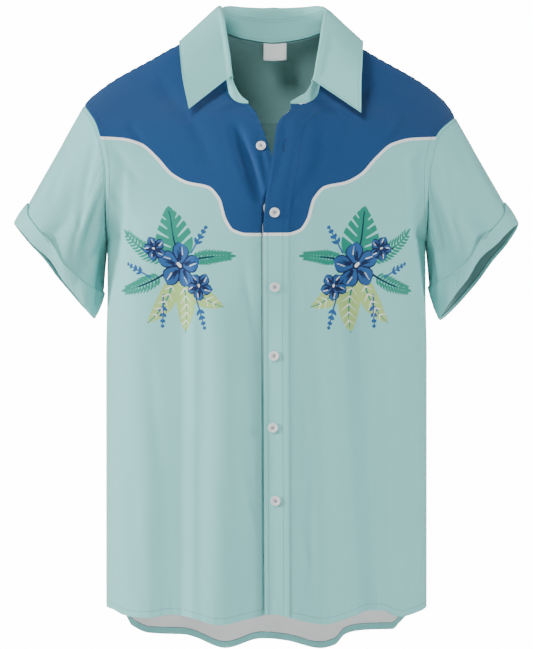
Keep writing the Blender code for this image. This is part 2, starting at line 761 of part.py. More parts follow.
def material(name, colour, roughness):
    finish = bpy.data.materials.get(name)
    if finish is None:
        finish = bpy.data.materials.new(name)
        finish.use_nodes = True
        shader = finish.node_tree.nodes["Principled BSDF"]
        shader.inputs["Base Color"].default_value = (*colour, 1)
        shader.inputs["Roughness"].default_value = roughness
        shader.inputs["Metallic"].default_value = 0
    return finish


def add_object(name, mesh, finish, collection):
    mesh.materials.append(finish)
    mesh.shade_smooth()
    mesh.set_sharp_from_angle(angle=radians(50))
    piece = bpy.data.objects.new(name, mesh)
    collection.objects.link(piece)
    return piece


def cross_lines(grid):
    """Whether each cell of a grid is split on its second diagonal, the shorter one."""
    first = np.linalg.norm(grid[1:, 1:] - grid[:-1, :-1], axis=-1)
    second = np.linalg.norm(grid[1:, :-1] - grid[:-1, 1:], axis=-1)
    return second < first


def skin(vertices, rows, columns, first, split, turned, faces):
    """Triangles of one face of a grid whose points start at index first."""
    for r in range(rows - 1):
        for c in range(split.shape[1]):
            d = (c + 1) % columns
            a, b = vertices[first + r * columns + c], vertices[first + r * columns + d]
            e, f = vertices[first + (r + 1) * columns + d], vertices[first + (r + 1) * columns + c]
            for corner in ((a, b, f), (b, e, f)) if split[r, c] else ((a, b, e), (a, e, f)):
                faces.new(corner[::-1] if turned else corner)


def cloth_wall(name, grid, normals, out, into, finish, collection, ring=False):
    """A closed wall of cloth from a grid: its faces lie out and into from the grid's points."""
    rows, columns = grid.shape[:2]
    points = np.concatenate([(grid + normals * out).reshape(-1, 3), (grid - normals * into).reshape(-1, 3)])
    shape = bmesh.new()
    vertices = [shape.verts.new(point) for point in points]
    half = rows * columns
    split = np.zeros((rows - 1, columns), bool) if ring else cross_lines(grid)
    skin(vertices, rows, columns, 0, split, False, shape.faces)
    skin(vertices, rows, columns, half, split, True, shape.faces)
    low = [(0, c) for c in range(columns)]
    high = [(rows - 1, c) for c in range(columns)][::-1]
    if ring:
        rims = [low, high]
    else:
        out_edge = [(r, columns - 1) for r in range(1, rows - 1)]
        in_edge = [(r, 0) for r in range(rows - 2, 0, -1)]
        rims = [low + out_edge + high + in_edge]
    for rim in rims:
        index = [r * columns + c for r, c in rim]
        for here, there in zip(index, index[1:] + index[:1]):
            shape.faces.new((vertices[there], vertices[here], vertices[half + here]))
            shape.faces.new((vertices[there], vertices[half + here], vertices[half + there]))
    return finish_shape(name, shape, finish, collection)


def finish_shape(name, shape, finish, collection):
    bmesh.ops.recalc_face_normals(shape, faces=shape.faces)
    if shape.calc_volume(signed=True) < 0:
        bmesh.ops.reverse_faces(shape, faces=shape.faces)
    mesh = bpy.data.meshes.new(name)
    shape.to_mesh(mesh)
    shape.free()
    return add_object(name, mesh, finish, collection)


def closed_loft(name, sections, finish, collection):
    """A body closed both ways: each column's section is a closed loop, and so is each row."""
    rows, columns = sections.shape[:2]
    shape = bmesh.new()
    vertices = [shape.verts.new(point) for point in sections.reshape(-1, 3)]
    for r in range(rows):
        s = (r + 1) % rows
        for c in range(columns):
            d = (c + 1) % columns
            a, b = vertices[r * columns + c], vertices[r * columns + d]
            e, f = vertices[s * columns + d], vertices[s * columns + c]
            shape.faces.new((a, b, e))
            shape.faces.new((a, e, f))
    return finish_shape(name, shape, finish, collection)


def turned_button():
    """A dished disc with a raised edge and four holes, its face towards +Z."""
    r, t = BUTTON_RADIUS, BUTTON_THICKNESS
    profile = (
        (0.0, 0.64 * t), (0.58 * r, 0.66 * t), (0.78 * r, t), (r, 0.62 * t), (0.80 * r, 0.0), (0.0, 0.0),
    )
    mesh = bpy.data.meshes.new("button_profile")
    mesh.from_pydata([(x, 0, z) for x, z in profile], [(k, k + 1) for k in range(len(profile) - 1)], [])
    disc = bpy.data.objects.new("button_profile", mesh)
    bpy.context.scene.collection.objects.link(disc)
    turn = disc.modifiers.new("turn", "SCREW")
    turn.steps = turn.render_steps = 16
    turn.use_merge_vertices = True
    turn.merge_threshold = 0.00005
    cutters = bmesh.new()
    for x in (-1, 1):
        for y in (-1, 1):
            hole = bmesh.ops.create_cone(
                cutters, cap_ends=True, segments=5, radius1=BUTTON_HOLE_RADIUS,
                radius2=BUTTON_HOLE_RADIUS, depth=4 * t,
            )
            place = Vector((x, y, 0)) * BUTTON_HOLE_SPREAD
            bmesh.ops.translate(cutters, verts=hole["verts"], vec=place)
    cutter_mesh = bpy.data.meshes.new("button_holes")
    cutters.to_mesh(cutter_mesh)
    cutters.free()
    cutter = bpy.data.objects.new("button_holes", cutter_mesh)
    bpy.context.scene.collection.objects.link(cutter)
    cut = disc.modifiers.new("holes", "BOOLEAN")
    cut.operation = "DIFFERENCE"
    cut.object = cutter
    bpy.context.view_layer.update()
    ready = disc.evaluated_get(bpy.context.evaluated_depsgraph_get())
    shape = bmesh.new()
    shape.from_mesh(bpy.data.meshes.new_from_object(ready))
    bmesh.ops.remove_doubles(shape, verts=shape.verts, dist=0.00002)
    bmesh.ops.triangulate(shape, faces=shape.faces)
    result = bpy.data.meshes.new("button")
    shape.to_mesh(result)
    shape.free()
    bpy.data.objects.remove(disc)
    bpy.data.objects.remove(cutter)
    return result


def spot_on(grid, normals, edge, z):
    """The point and normal of a front's outer face at a distance from its free edge and a height."""
    per_row = []
    for points, directions in zip(grid, normals):
        along = lengths(points)
        per_row.append([np.interp(edge, along, values) for values in (*points.T, *directions.T)])
    per_row = np.array(per_row)
    order = np.argsort(per_row[:, 2])
    spot = np.array([np.interp(z, per_row[order, 2], per_row[order, k]) for k in range(6)])
    return spot[:3], unit(spot[3:])


def add_buttons(fronts, collection, finish):
    mesh = turned_button()
    mesh.materials.append(finish)
    mesh.shade_smooth()
    mesh.set_sharp_from_angle(angle=radians(40))
    for number, (edge, z) in enumerate(BUTTONS[1], 1):
        grid, normals = fronts["right" if number == 1 else "left"]
        stand_off = 2 * SEAM + (0 if number == 1 else SEAM + CLOTH)
        spot, normal = spot_on(grid, normals, edge, z)
        button = bpy.data.objects.new(f"button_{number}", mesh)
        button.location = Vector(spot + normal * stand_off)
        button.rotation_mode = "QUATERNION"
        button.rotation_quaternion = Vector(normal).to_track_quat("Z", "Y")
        collection.objects.link(button)


def label_panel():
    """The label hangs from the neck seam, inside the yoke, with a slight curl at its foot."""
    _, back = neck_seam("left")
    rows = []
    for level in np.linspace(0, 1, LABEL_ROWS + 1):
        x = np.linspace(*LABEL_X, LABEL_COLUMNS + 1)
        order = np.argsort(back[:, 0])
        y = np.interp(abs(x - NECK_X) + NECK_X, back[order, 0], back[order, 1])
        z = np.interp(abs(x - NECK_X) + NECK_X, back[order, 0], back[order, 2])
        rows.append(np.stack([
            x, y - LABEL_STAND_OFF - LABEL_CURL * level**2, z - LABEL_DROP - LABEL_HEIGHT * level
        ], axis=1))
    grid = np.array(rows)
    return grid, np.broadcast_to(np.array([0.0, -1.0, 0.0]), grid.shape)


def clear_scene():
    for thing in list(bpy.data.objects):
        bpy.data.objects.remove(thing)


def main():
    clear_scene()
    shirt = bpy.data.collections.new("hawaiian_shirt")
    bpy.context.scene.collection.children.link(shirt)
    teal = material("teal_cloth", TEAL, 0.85)
    blue = material("blue_cloth", BLUE, 0.85)
    white = material("label_cloth", WHITE, 0.8)
    shell = material("button_shell", WHITE, 0.3)

    fronts = {side: front_panel(side) for side in ("right", "left")}
    for side, (grid, normals) in fronts.items():
        cloth_wall(f"front_{side}", grid, normals, 0, CLOTH, teal, shirt)
    grid, normals = (part[:SIDE_ROWS + CHEST_ROWS + 1, :PLACKET_COLUMNS + 1] for part in fronts["left"])
    cloth_wall("front_placket", grid, normals, SEAM + CLOTH, -SEAM, teal, shirt)

    back, back_normals = back_panel()
    cloth_wall("back", back, back_normals, 0, CLOTH, teal, shirt)
    yoke, yoke_normals = yoke_panel(back)
    cloth_wall("back_yoke", yoke, yoke_normals, 0, CLOTH, blue, shirt)

    for side in ("right", "left"):
        grid, normals = sleeve_panel(side)
        cloth_wall(f"sleeve_{side}", grid, normals, 0, CLOTH, teal, shirt, ring=True)
        closed_loft(f"cuff_{side}", cuff_sections(side), teal, shirt)

    rows, outward, _, _ = stand_rows()
    cloth_wall("collar_stand", rows, np.array([outward] * 3), 0, COLLAR_CLOTH, teal, shirt)
    grid, normals = leaf_panel()
    cloth_wall("collar_leaf", grid, normals, COLLAR_CLOTH / 2, COLLAR_CLOTH / 2, teal, shirt)

    grid, normals = label_panel()
    cloth_wall("label", grid, normals, LABEL_CLOTH / 2, LABEL_CLOTH / 2, white, shirt)
    add_buttons(fronts, shirt, shell)


main()
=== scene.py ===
import bpy
import numpy as np
from math import pi, radians
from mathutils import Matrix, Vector


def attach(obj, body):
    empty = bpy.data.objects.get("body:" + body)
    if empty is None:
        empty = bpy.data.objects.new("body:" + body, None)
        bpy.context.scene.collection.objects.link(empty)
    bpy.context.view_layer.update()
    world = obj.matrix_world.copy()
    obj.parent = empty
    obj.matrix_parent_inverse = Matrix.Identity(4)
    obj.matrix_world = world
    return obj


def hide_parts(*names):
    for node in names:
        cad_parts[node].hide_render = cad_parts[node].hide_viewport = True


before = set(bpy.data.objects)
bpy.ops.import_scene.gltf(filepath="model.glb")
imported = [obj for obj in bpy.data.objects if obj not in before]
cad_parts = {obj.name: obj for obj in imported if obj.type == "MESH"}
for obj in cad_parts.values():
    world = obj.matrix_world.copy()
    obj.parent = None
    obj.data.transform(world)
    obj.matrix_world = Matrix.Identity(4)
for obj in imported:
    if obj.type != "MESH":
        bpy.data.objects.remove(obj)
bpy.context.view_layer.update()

print("frame loaded")

# The shirt's form: X right as seen from the front, -Y out of the front, Z up, in metres.
# "right" and "left" are the wearer's, so right is at -X.
# Driving sizes
clothWall = 0.0012  # wall of a panel
collarWall = 0.0016  # wall of the stiffened collar pieces
seamGap = 0.0003  # gap under what lies on a panel
seamLap = 0.0004  # how far sewn edges lap
sign = {"right": -1, "left": 1}

neckX = 0.009  # the collar sits a little towards the wearer's left
neckFrontZ = -0.097
armpitZ = -0.270
armholeHalfDepth = 0.085
armholeLean = 0.3  # least sideways share of a body panel's edge direction there
chestRowZ = -0.262  # centre of the girth row that ends at the armpits
yokeZ = -0.108  # yoke seam at the centre back
sideHemZ = -0.742
bodySquareness = 0.13  # how much boxier than an ellipse the body is in plan
armpitSquareness = 0.24  # and beside the armpits
leastBend = radians(27)  # the part of the oval that a row near the shoulder still follows

lapLift = 0.0034  # how far the top front stands off the one under it
placketWidth = 0.0325
placketColumns = 24
clothEnd = 0.915  # share of a cuff's height, down from its upper line, where the sleeve's cloth ends

buttonRadius = 0.0063
buttonThickness = 0.0026
buttonHoleRadius = 0.0009
buttonHoleSpread = 0.0016

labelX = (-0.0037, 0.0262)
labelHeight = 0.0225
labelDrop, labelStandOff, labelCurl = 0.0015, 0.0035, 0.002
labelRows, labelColumns = 3, 24

# How finely the surfaces are drawn: shares from hem to armpit, then counts as in the names
frontShares = np.r_[
    0, 0.006, 0.0125, 0.0188, np.linspace(0.0188, 0.71, 78)[1:], np.linspace(0.71, 1, 112)[1:]
]
backShares = np.r_[0, 0.006, 0.012, 0.0172, np.linspace(0.0172, 1, 118)[1:]]
chestRows, neckRows = 110, 56
neckShare = 0.70  # share of the armhole that lies beside the front edge
yokeShare = 0.75  # share of the armhole below the yoke seam
backArmRows, yokeRows = 48, 40
frontColumnShares = np.r_[np.linspace(0, 0.73, 131), np.linspace(0.73, 1, 25)[1:]]
coarseStep = 8  # fine columns per column of the plain part
shoulderColumns, neckBackColumns = 64, 48

# The shoulder seam from neck to sleeve: distance out and height
shoulderLine = ("x", "z"), (
    (0.060, 0.006),
    (0.083, -0.002),
    (0.114, -0.013),
    (0.151, -0.0335),
    (0.198, -0.060),
    (0.216, -0.073),
    (0.231, -0.086),
    (0.240, -0.098),
    (0.248, -0.113),
)
# Half of the neck seam: distance from the neck's centre, depth and height
neckLine = ("x", "y", "z"), (
    (0.015, -0.0770, -0.0975),
    (0.042, -0.0700, -0.0955),
    (0.057, -0.0550, -0.0820),
    (0.063, -0.0270, -0.0370),
    (0.067, 0.0000, 0.0030),
    (0.062, 0.0300, 0.0040),
    (0.040, 0.0530, -0.0010),
    (0.000, 0.0610, -0.0055),
)
neckFrontOut = {"right": 0.0325, "left": 0.0219}  # where each front's neck seam starts
# Free edge of each front from the neck down
frontEdge = {
    "right": (("z", "x"), (
        (-0.097, -0.0235),
        (-0.105, -0.0160),
        (-0.126, -0.0062),
        (-0.147, 0.0010),
        (-0.164, 0.0067),
        (-0.222, 0.0270),
        (-0.245, 0.0290),
        (-0.760, 0.0290),
    )),
    "left": (("z", "x"), (
        (-0.097, 0.0309),
        (-0.105, 0.0300),
        (-0.115, 0.0195),
        (-0.126, 0.0130),
        (-0.140, 0.0108),
        (-0.160, 0.0082),
        (-0.192, 0.0034),
        (-0.223, -0.0014),
        (-0.260, -0.0040),
        (-0.760, -0.0022),
    )),
}
# Depth of the body at its centre
frontDepth = ("z", "y"), (
    (-0.097, 0.0765),
    (-0.130, 0.0950),
    (-0.170, 0.1110),
    (-0.220, 0.1240),
    (-0.270, 0.1310),
    (-0.350, 0.1350),
    (-0.760, 0.1330),
)
backDepth = ("z", "y"), (
    (-0.108, 0.1160),
    (-0.170, 0.1290),
    (-0.250, 0.1330),
    (-0.400, 0.1280),
    (-0.550, 0.1260),
    (-0.820, 0.1330),
)
sideLine = ("z", "x"), (
    (-0.270, 0.2065),
    (-0.330, 0.2065),
    (-0.420, 0.2082),
    (-0.745, 0.2082),
)
# The armhole seam in the front view, from the shoulder to the armpit
armholeTable = {
    "right": (("z", "x"), (
        (-0.0925, 0.2370),
        (-0.122, 0.2180),
        (-0.155, 0.2085),
        (-0.185, 0.2050),
        (-0.270, 0.2065),
    )),
    "left": (("z", "x"), (
        (-0.108, 0.2450),
        (-0.134, 0.2190),
        (-0.158, 0.2105),
        (-0.185, 0.2060),
        (-0.270, 0.2065),
    )),
}
# Hem edges across the front and the back
frontHem = ("x", "z"), (
    (-0.2082, -0.7420),
    (-0.1980, -0.7425),
    (-0.1820, -0.7475),
    (-0.1540, -0.7490),
    (-0.1240, -0.7440),
    (-0.0970, -0.7465),
    (-0.059, -0.754),
    (-0.019, -0.746),
    (0.010, -0.741),
    (0.049, -0.750),
    (0.072, -0.7535),
    (0.118, -0.7440),
    (0.133, -0.7385),
    (0.151, -0.7395),
    (0.164, -0.7470),
    (0.180, -0.7490),
    (0.198, -0.7450),
    (0.2082, -0.7420),
)
backHem = ("x", "z"), (
    (-0.2082, -0.7420),
    (-0.1985, -0.7490),
    (-0.1880, -0.7620),
    (-0.1810, -0.7770),
    (-0.1560, -0.7895),
    (-0.1135, -0.7930),
    (-0.0990, -0.7970),
    (-0.055, -0.8135),
    (-0.009, -0.800),
    (0.025, -0.8025),
    (0.072, -0.8135),
    (0.0930, -0.8080),
    (0.1080, -0.7930),
    (0.1270, -0.7870),
    (0.1700, -0.7830),
    (0.1800, -0.7725),
    (0.1870, -0.7630),
    (0.1975, -0.7500),
    (0.2082, -0.7420),
)
# Soft folds: where each trough starts and ends, how far it spreads to -X and +X, and its depth.
# A negative depth is a ridge.
foldColumns = ("xTop", "zTop", "xEnd", "zEnd", "spreadLow", "spreadHigh", "depth")
frontFolds = foldColumns, (
    (-0.048, -0.104, -0.006, -0.235, 0.016, 0.014, 0.0055),  # roll beside the open neck, right
    (0.072, -0.104, 0.026, -0.225, 0.016, 0.018, 0.0035),  # and left
    (-0.112, -0.250, -0.114, -0.790, 0.062, 0.024, 0.0105),
    (-0.004, -0.330, 0.004, -0.790, 0.050, 0.034, 0.0070),
    (0.084, -0.250, 0.125, -0.790, 0.056, 0.024, 0.0105),
    (0.176, -0.420, 0.186, -0.790, 0.026, 0.018, 0.0035),
    (-0.184, -0.150, -0.190, -0.330, 0.016, 0.012, 0.0040),
    (0.186, -0.130, 0.190, -0.300, 0.014, 0.014, 0.0040),
    (-0.064, -0.300, -0.062, -0.790, 0.030, 0.034, -0.0040),
    (0.060, -0.300, 0.062, -0.790, 0.034, 0.030, -0.0035),
)
backFolds = foldColumns, (
    (-0.118, -0.150, -0.128, -0.850, 0.040, 0.046, 0.0100),
    (-0.030, -0.260, -0.014, -0.850, 0.040, 0.034, 0.0090),
    (0.040, -0.180, 0.026, -0.850, 0.032, 0.040, 0.0065),
    (0.120, -0.160, 0.122, -0.850, 0.044, 0.036, 0.0105),
    (-0.170, -0.300, -0.176, -0.850, 0.020, 0.022, 0.0040),
    (0.170, -0.260, 0.178, -0.850, 0.020, 0.022, 0.0040),
)
# Sleeve ends in the front view: the cuff's upper line and the sleeve's lower rim, outer and inner end
sleeveEnd = {
    "right": {
        "lineOut": (-0.3090, -0.2205), "lineIn": (-0.2115, -0.3370),
        "rimOut": (-0.3280, -0.2475), "rimIn": (-0.2245, -0.3700),
    },
    "left": {
        "lineOut": (0.3085, -0.2195), "lineIn": (0.2112, -0.3290),
        "rimOut": (0.3275, -0.2480), "rimIn": (0.2255, -0.3720),
    },
}
lineHalfDepth, lineFrontSag = 0.074, 0.012
rimHalfDepth, rimTilt = 0.048, {"right": 0.004, "left": 0.009}
# Folds along a sleeve, by the angle round it from the top over the front, in degrees
sleeveFoldColumns = ("angleTop", "angleEnd", "spread", "depth", "start", "end")
sleeveFolds = sleeveFoldColumns, (
    (70, 82, 26, 0.0060, 0.15, 1.9),
    (122, 138, 18, -0.0060, 0.05, 1.6),
    (150, 158, 14, 0.0050, 0.05, 1.3),
    (36, 40, 20, -0.0035, 0.10, 1.2),
    (-60, -72, 26, 0.0050, 0.15, 1.9),
    (-118, -130, 20, -0.0050, 0.10, 1.6),
)
# The stand, by share of the neck seam from a front end to the centre back
standTable = ("share", "height", "leanIn"), (
    (0.00, 0.0035, 0.00),
    (0.06, 0.0110, 0.05),
    (0.14, 0.0165, 0.12),
    (0.26, 0.0225, 0.12),
    (0.45, 0.0260, -0.06),
    (0.62, 0.0275, -0.10),
    (1.00, 0.0300, 0.04),
)
# The leaf, by share from its front edge to the centre back: rise above the stand and roll outwards,
# then its free edge, measured out from the neck's centre
leafStart = 16  # neck columns between the stand's front end and the leaf
leafRoll = ("share", "rise", "roll"), (
    (0.00, 0.0025, 0.0050),
    (0.35, 0.0025, 0.0055),
    (0.55, 0.0035, 0.0060),
    (0.70, 0.0110, 0.0060),
    (1.00, 0.0165, 0.0060),
)
leafEdge = ("share", "x", "y", "z", "leftOut"), (  # leftOut: how much farther out on the left
    (0.00, 0.1075, -0.0860, -0.1040, 0.0036),
    (0.22, 0.1170, -0.0660, -0.0570, -0.0045),
    (0.44, 0.1215, -0.0150, -0.0110, -0.0060),
    (0.56, 0.1180, 0.0250, -0.0090, -0.0060),
    (0.72, 0.0960, 0.0620, -0.0120, -0.0040),
    (0.86, 0.0520, 0.0800, -0.0120, -0.0020),
    (1.00, 0.0000, 0.0850, -0.0120, 0.0000),
)
leftPointDrop = 0.0050  # the left point hangs that much lower
# Buttons: distance from the front's free edge and height; the first one is on the right front
buttonPlaces = ("edge", "z"), (
    (0.0095, -0.1525),
    (0.0130, -0.2380),
    (0.0145, -0.3310),
    (0.0145, -0.4170),
    (0.0125, -0.5070),
    (0.0155, -0.5985),
)

# Reading tables and smoothing

def column(table, name):
    names, rows = table
    return np.array([row[names.index(name)] for row in rows], float)


def curveThrough(stops, values, at, levelEnd=False):
    if stops[0] > stops[-1]:
        stops, values = stops[::-1], values[::-1]
    gaps = np.diff(stops)
    slopes = np.diff(values) / gaps
    tangents = np.zeros(len(stops))
    sameWay = slopes[1:] * slopes[:-1] > 0
    inner = 2 * slopes[1:] * slopes[:-1] / np.where(sameWay, slopes[1:] + slopes[:-1], 1)
    tangents[1:-1] = np.where(sameWay, inner, 0)
    tangents[0], tangents[-1] = slopes[0], 0 if levelEnd else slopes[-1]
    at = np.clip(at, stops[0], stops[-1])
    place = np.clip(np.searchsorted(stops, at) - 1, 0, len(gaps) - 1)
    t, gap = (at - stops[place]) / gaps[place], gaps[place]
    return (
        values[place] * (2 * t**3 - 3 * t**2 + 1)
        + values[place + 1] * (3 * t**2 - 2 * t**3)
        + tangents[place] * gap * (t**3 - 2 * t**2 + t)
        + tangents[place + 1] * gap * (t**3 - t**2)
    )


def read(table, name, at):
    return curveThrough(column(table, table[0][0]), column(table, name), np.asarray(at, float))


def smooth(low, high, value):
    t = np.clip((np.asarray(value, float) - low) / (high - low), 0, 1)
    return t * t * (3 - 2 * t)


def unit(vectors):
    return vectors / np.linalg.norm(vectors, axis=-1, keepdims=True)


def lengths(points):
    return np.r_[0, np.cumsum(np.linalg.norm(np.diff(points, axis=0), axis=1))]


def atLengths(points, wanted):
    along = lengths(points)
    return np.stack([np.interp(wanted, along, points[:, k]) for k in range(3)], axis=1)


def gridNormals(grid, ring=False):
    across = np.roll(grid, -1, 1) - np.roll(grid, 1, 1) if ring else np.gradient(grid, axis=1)
    return unit(np.cross(across, np.gradient(grid, axis=0)))


# Body

def foldDepth(table, x, z):
    pressed = np.zeros(np.broadcast(x, z).shape)
    for fold in table[1]:
        xTop, zTop, xEnd, zEnd, spreadLow, spreadHigh, depth = fold
        share = np.clip((zTop - z) / (zTop - zEnd), 0, 1)
        off = x - (xTop + (xEnd - xTop) * share)
        off = np.clip(off / np.where(off < 0, spreadLow, spreadHigh), -1, 1)
        ends = smooth(zTop + 0.004, zTop - 0.075, z)
        if zEnd > sideHemZ:
            ends = ends * smooth(zEnd - 0.004, zEnd + 0.060, z)
        pressed = pressed + depth * (0.5 + 0.5 * np.cos(pi * off)) * ends
    return pressed


def gridSpans(grid):
    # length along each row and up each column
    across = np.linalg.norm(np.diff(grid, axis=1), axis=-1).cumsum(axis=1)
    up = np.linalg.norm(np.diff(grid, axis=0), axis=-1).cumsum(axis=0)
    return np.pad(across, ((0, 0), (1, 0))), np.pad(up, ((1, 0), (0, 0)))


def closedRing(grid):
    return np.concatenate([grid, grid[:, :1]], axis=1)


def ringSpans(grid):
    # the same lengths on a grid that closes on itself
    across, up = gridSpans(closedRing(grid))
    return across[:, :-1], up[:, :-1]


def pressFolds(grid, table, quiet):
    halfWidth, halfDepth = column(sideLine, "x")[-1], column(frontDepth, "y")[-1]
    outward = unit(np.stack([
        grid[..., 0] / halfWidth**2, grid[..., 1] / halfDepth**2, np.zeros(grid.shape[:2])
    ], axis=-1))
    return grid - outward * (foldDepth(table, grid[..., 0], grid[..., 2]) * quiet)[..., None]


def armholePoint(side, angle):
    table = armholeTable[side]
    top = column(table, "z")[0]
    z = (top + armpitZ) / 2 + (top - armpitZ) / 2 * np.cos(angle)
    return np.stack([
        sign[side] * read(table, "x", z), -armholeHalfDepth * np.sin(angle), z
    ], axis=-1)


def leaningOut(side, normal):
    out = sign[side] * max(sign[side] * normal[0], armholeLean)
    return unit(np.array([out, normal[1], normal[2]]))


def armholeNormal(side, angle, natural):
    radial = np.array([0.75 * sign[side], -np.sin(angle), np.cos(angle)])
    share = smooth(radians(80), radians(35), abs(angle))
    return unit(share * unit(radial) + (1 - share) * natural)


def sideEdge(side, face, station):
    if station <= 1:
        z = sideHemZ + (armpitZ - sideHemZ) * station
        return np.array([sign[side] * float(read(sideLine, "x", z)), 0.0, z])
    angle = (2 - station) * pi
    return armholePoint(side, angle if face == "front" else -angle)


def girthRow(inner, outer, station, count=420):
    squareness = bodySquareness + (armpitSquareness - bodySquareness) * smooth(0.6, 1, station)
    power = 1 - squareness * (1 - smooth(1, 1 + neckShare, station))
    cut = np.clip(outer[1] / inner[1], 0, 1) if station < 1 + neckShare else 1
    half = max(np.arccos(cut ** (1 / power)), leastBend)
    ratio = inner[0] / outer[0]
    start = np.sign(ratio) * np.arcsin(np.sin(half) * abs(ratio) ** (1 / power)) / half
    u = np.linspace(start, 1, count)
    out = np.sign(u) * np.abs(np.sin(half * u) / np.sin(half)) ** power
    level = np.clip(np.cos(half * u), 0, 1) ** power - max(np.cos(half), 0) ** power
    return out * outer[0], outer[1] + (inner[1] - outer[1]) * level / level[0]


def rowHeight(x, inner, outer, station, hem):
    share = np.clip((x - inner[0]) / (outer[0] - inner[0]), 0, 1)
    if station <= 1:
        chest = chestRowZ + (armpitZ - chestRowZ) * share**1.35
        return read(hem, "z", x) * (1 - station) + chest * station
    drop = share**1.35
    if station > 1 + neckShare:
        line = read(shoulderLine, "z", abs(x))
        lineDrop = (line - line[0]) / (line[-1] - line[0])
        mix = float(smooth(1 + neckShare, 2, station))
        drop = drop * (1 - mix) + lineDrop * mix
    return inner[2] + (outer[2] - inner[2]) * drop


def neckSeam(side):
    stops = np.arange(len(neckLine[1]), dtype=float)
    fine = np.linspace(0, stops[-1], 400)
    x, y, z = (curveThrough(stops, column(neckLine, name), fine, name != "x") for name in "xyz")
    points = np.stack([neckX + sign[side] * x, y, z], axis=1)
    start = int(np.argmin(abs(x[:150] - neckFrontOut[side])))
    shoulder = int(np.argmin(abs(fine - 4)))
    points[:, 2] += np.interp(
        fine, [3, 4, 5], [0, float(read(shoulderLine, "z", abs(points[shoulder, 0]))) - z[shoulder], 0]
    )
    return points[start:shoulder + 1], points[shoulder:]


def neckStations(side):
    front, back = neckSeam(side)
    return (
        atLengths(front, np.linspace(0, lengths(front)[-1], neckRows + 1)),
        atLengths(back, np.linspace(0, lengths(back)[-1], neckBackColumns + 1)),
    )


def frontStations(side):
    edge = frontEdge[side]
    low = float(read(frontHem, "z", read(edge, "x", sideHemZ)))
    heights = [
        *(low + (chestRowZ - low) * frontShares),
        *np.linspace(chestRowZ, neckFrontZ, chestRows + 1)[1:],
    ]
    stations = [
        *frontShares,
        *np.linspace(1, 1 + neckShare, chestRows + 1)[1:],
        *np.linspace(1 + neckShare, 2, neckRows + 1)[1:],
    ]
    inner = [
        np.array([float(read(edge, "x", z)), -float(read(frontDepth, "y", z)), z]) for z in heights
    ]
    return list(zip(stations, [*inner, *neckStations(side)[0][1:]]))


def frontGrid(side):
    band = np.linspace(0, placketWidth, placketColumns + 1)
    rows = []
    for station, inner in frontStations(side):
        outer = sideEdge(side, "front", station)
        x, y = girthRow(inner, outer, station)
        line = np.stack([x, y, rowHeight(x, inner, outer, station, frontHem)], axis=1)
        full = lengths(line)[-1]
        columns = [*band, *(placketWidth + (full - placketWidth) * frontColumnShares)[1:]]
        rows.append(atLengths(line, columns))
    return np.array(rows)


def easedBend(grid, row, reach, rounds):
    # rounds the bend between two runs of rows, away from both ends of them
    columns = np.arange(grid.shape[1])
    weight = smooth(reach, 0, abs(np.arange(len(grid)) - row))[:, None] * np.clip(columns / 6, 0, 1)
    weight = (weight * np.clip((grid.shape[1] - 1 - columns) / 10, 0, 1))[..., None]
    for _ in range(rounds):
        soft = grid.copy()
        soft[1:-1] = (grid[:-2] + 2 * grid[1:-1] + grid[2:]) / 4
        grid = grid + (soft - grid) * weight
    return grid


def frontPanel(side):
    grid = easedBend(frontGrid(side), len(frontShares) - 1 + chestRows, 30, 160)
    across, up = gridSpans(grid)
    quiet = smooth(0, 0.017, across[:, -1:] - across) * smooth(0, 0.012, up[-1:] - up)
    grid = pressFolds(grid, frontFolds, quiet)
    if side == "left":
        lift = smooth(0.060, 0.034, grid[..., 0]) * smooth(-0.085, -0.125, grid[..., 2])
        grid[..., 1] -= lapLift * lift
    normals = gridNormals(grid) * -sign[side]
    normals = outwardOnly(normals, grid)
    normals[:len(frontShares), -1, 1] = 0
    normals[-1, :, 1] = 0
    normals[:, -1] = unit(normals[:, -1])
    normals[-1] = unit(normals[-1])
    for row, (station, _) in enumerate(frontStations(side)):
        if station > 1:
            natural = leaningOut(side, normals[row, -1])
            normals[row, -1] = armholeNormal(side, (2 - station) * pi, natural)
    grid[:len(frontShares), -1, 1] += seamLap
    grid[-1, :, 1] += seamLap
    return grid, normals


def outwardOnly(normals, grid):
    away = (normals[..., 0] * grid[..., 0] + normals[..., 1] * grid[..., 1]).sum()
    return normals if away > 0 else -normals


def wholeGirth(station, depth, height):
    halves = []
    for side in ("right", "left"):
        outer = sideEdge(side, "back", station)
        inner = np.array([sign[side] * 1e-6, depth, height])
        x, y = girthRow(inner, outer, station)
        line = np.stack([x, y, rowHeight(x, inner, outer, station, backHem)], axis=1)
        steps = shoulderColumns + neckBackColumns
        halves.append(atLengths(line, np.linspace(0, lengths(line)[-1], steps + 1)))
    return np.array([*halves[0][::-1], *halves[1][1:]])


def backStations():
    low = float(read(backHem, "z", 0.0))
    heights = [
        *(low + (chestRowZ - low) * backShares),
        *np.linspace(chestRowZ, yokeZ, backArmRows + 1)[1:],
    ]
    stations = [
        *backShares,
        *np.linspace(1, 1 + yokeShare, backArmRows + 1)[1:],
    ]
    return list(zip(stations, heights))


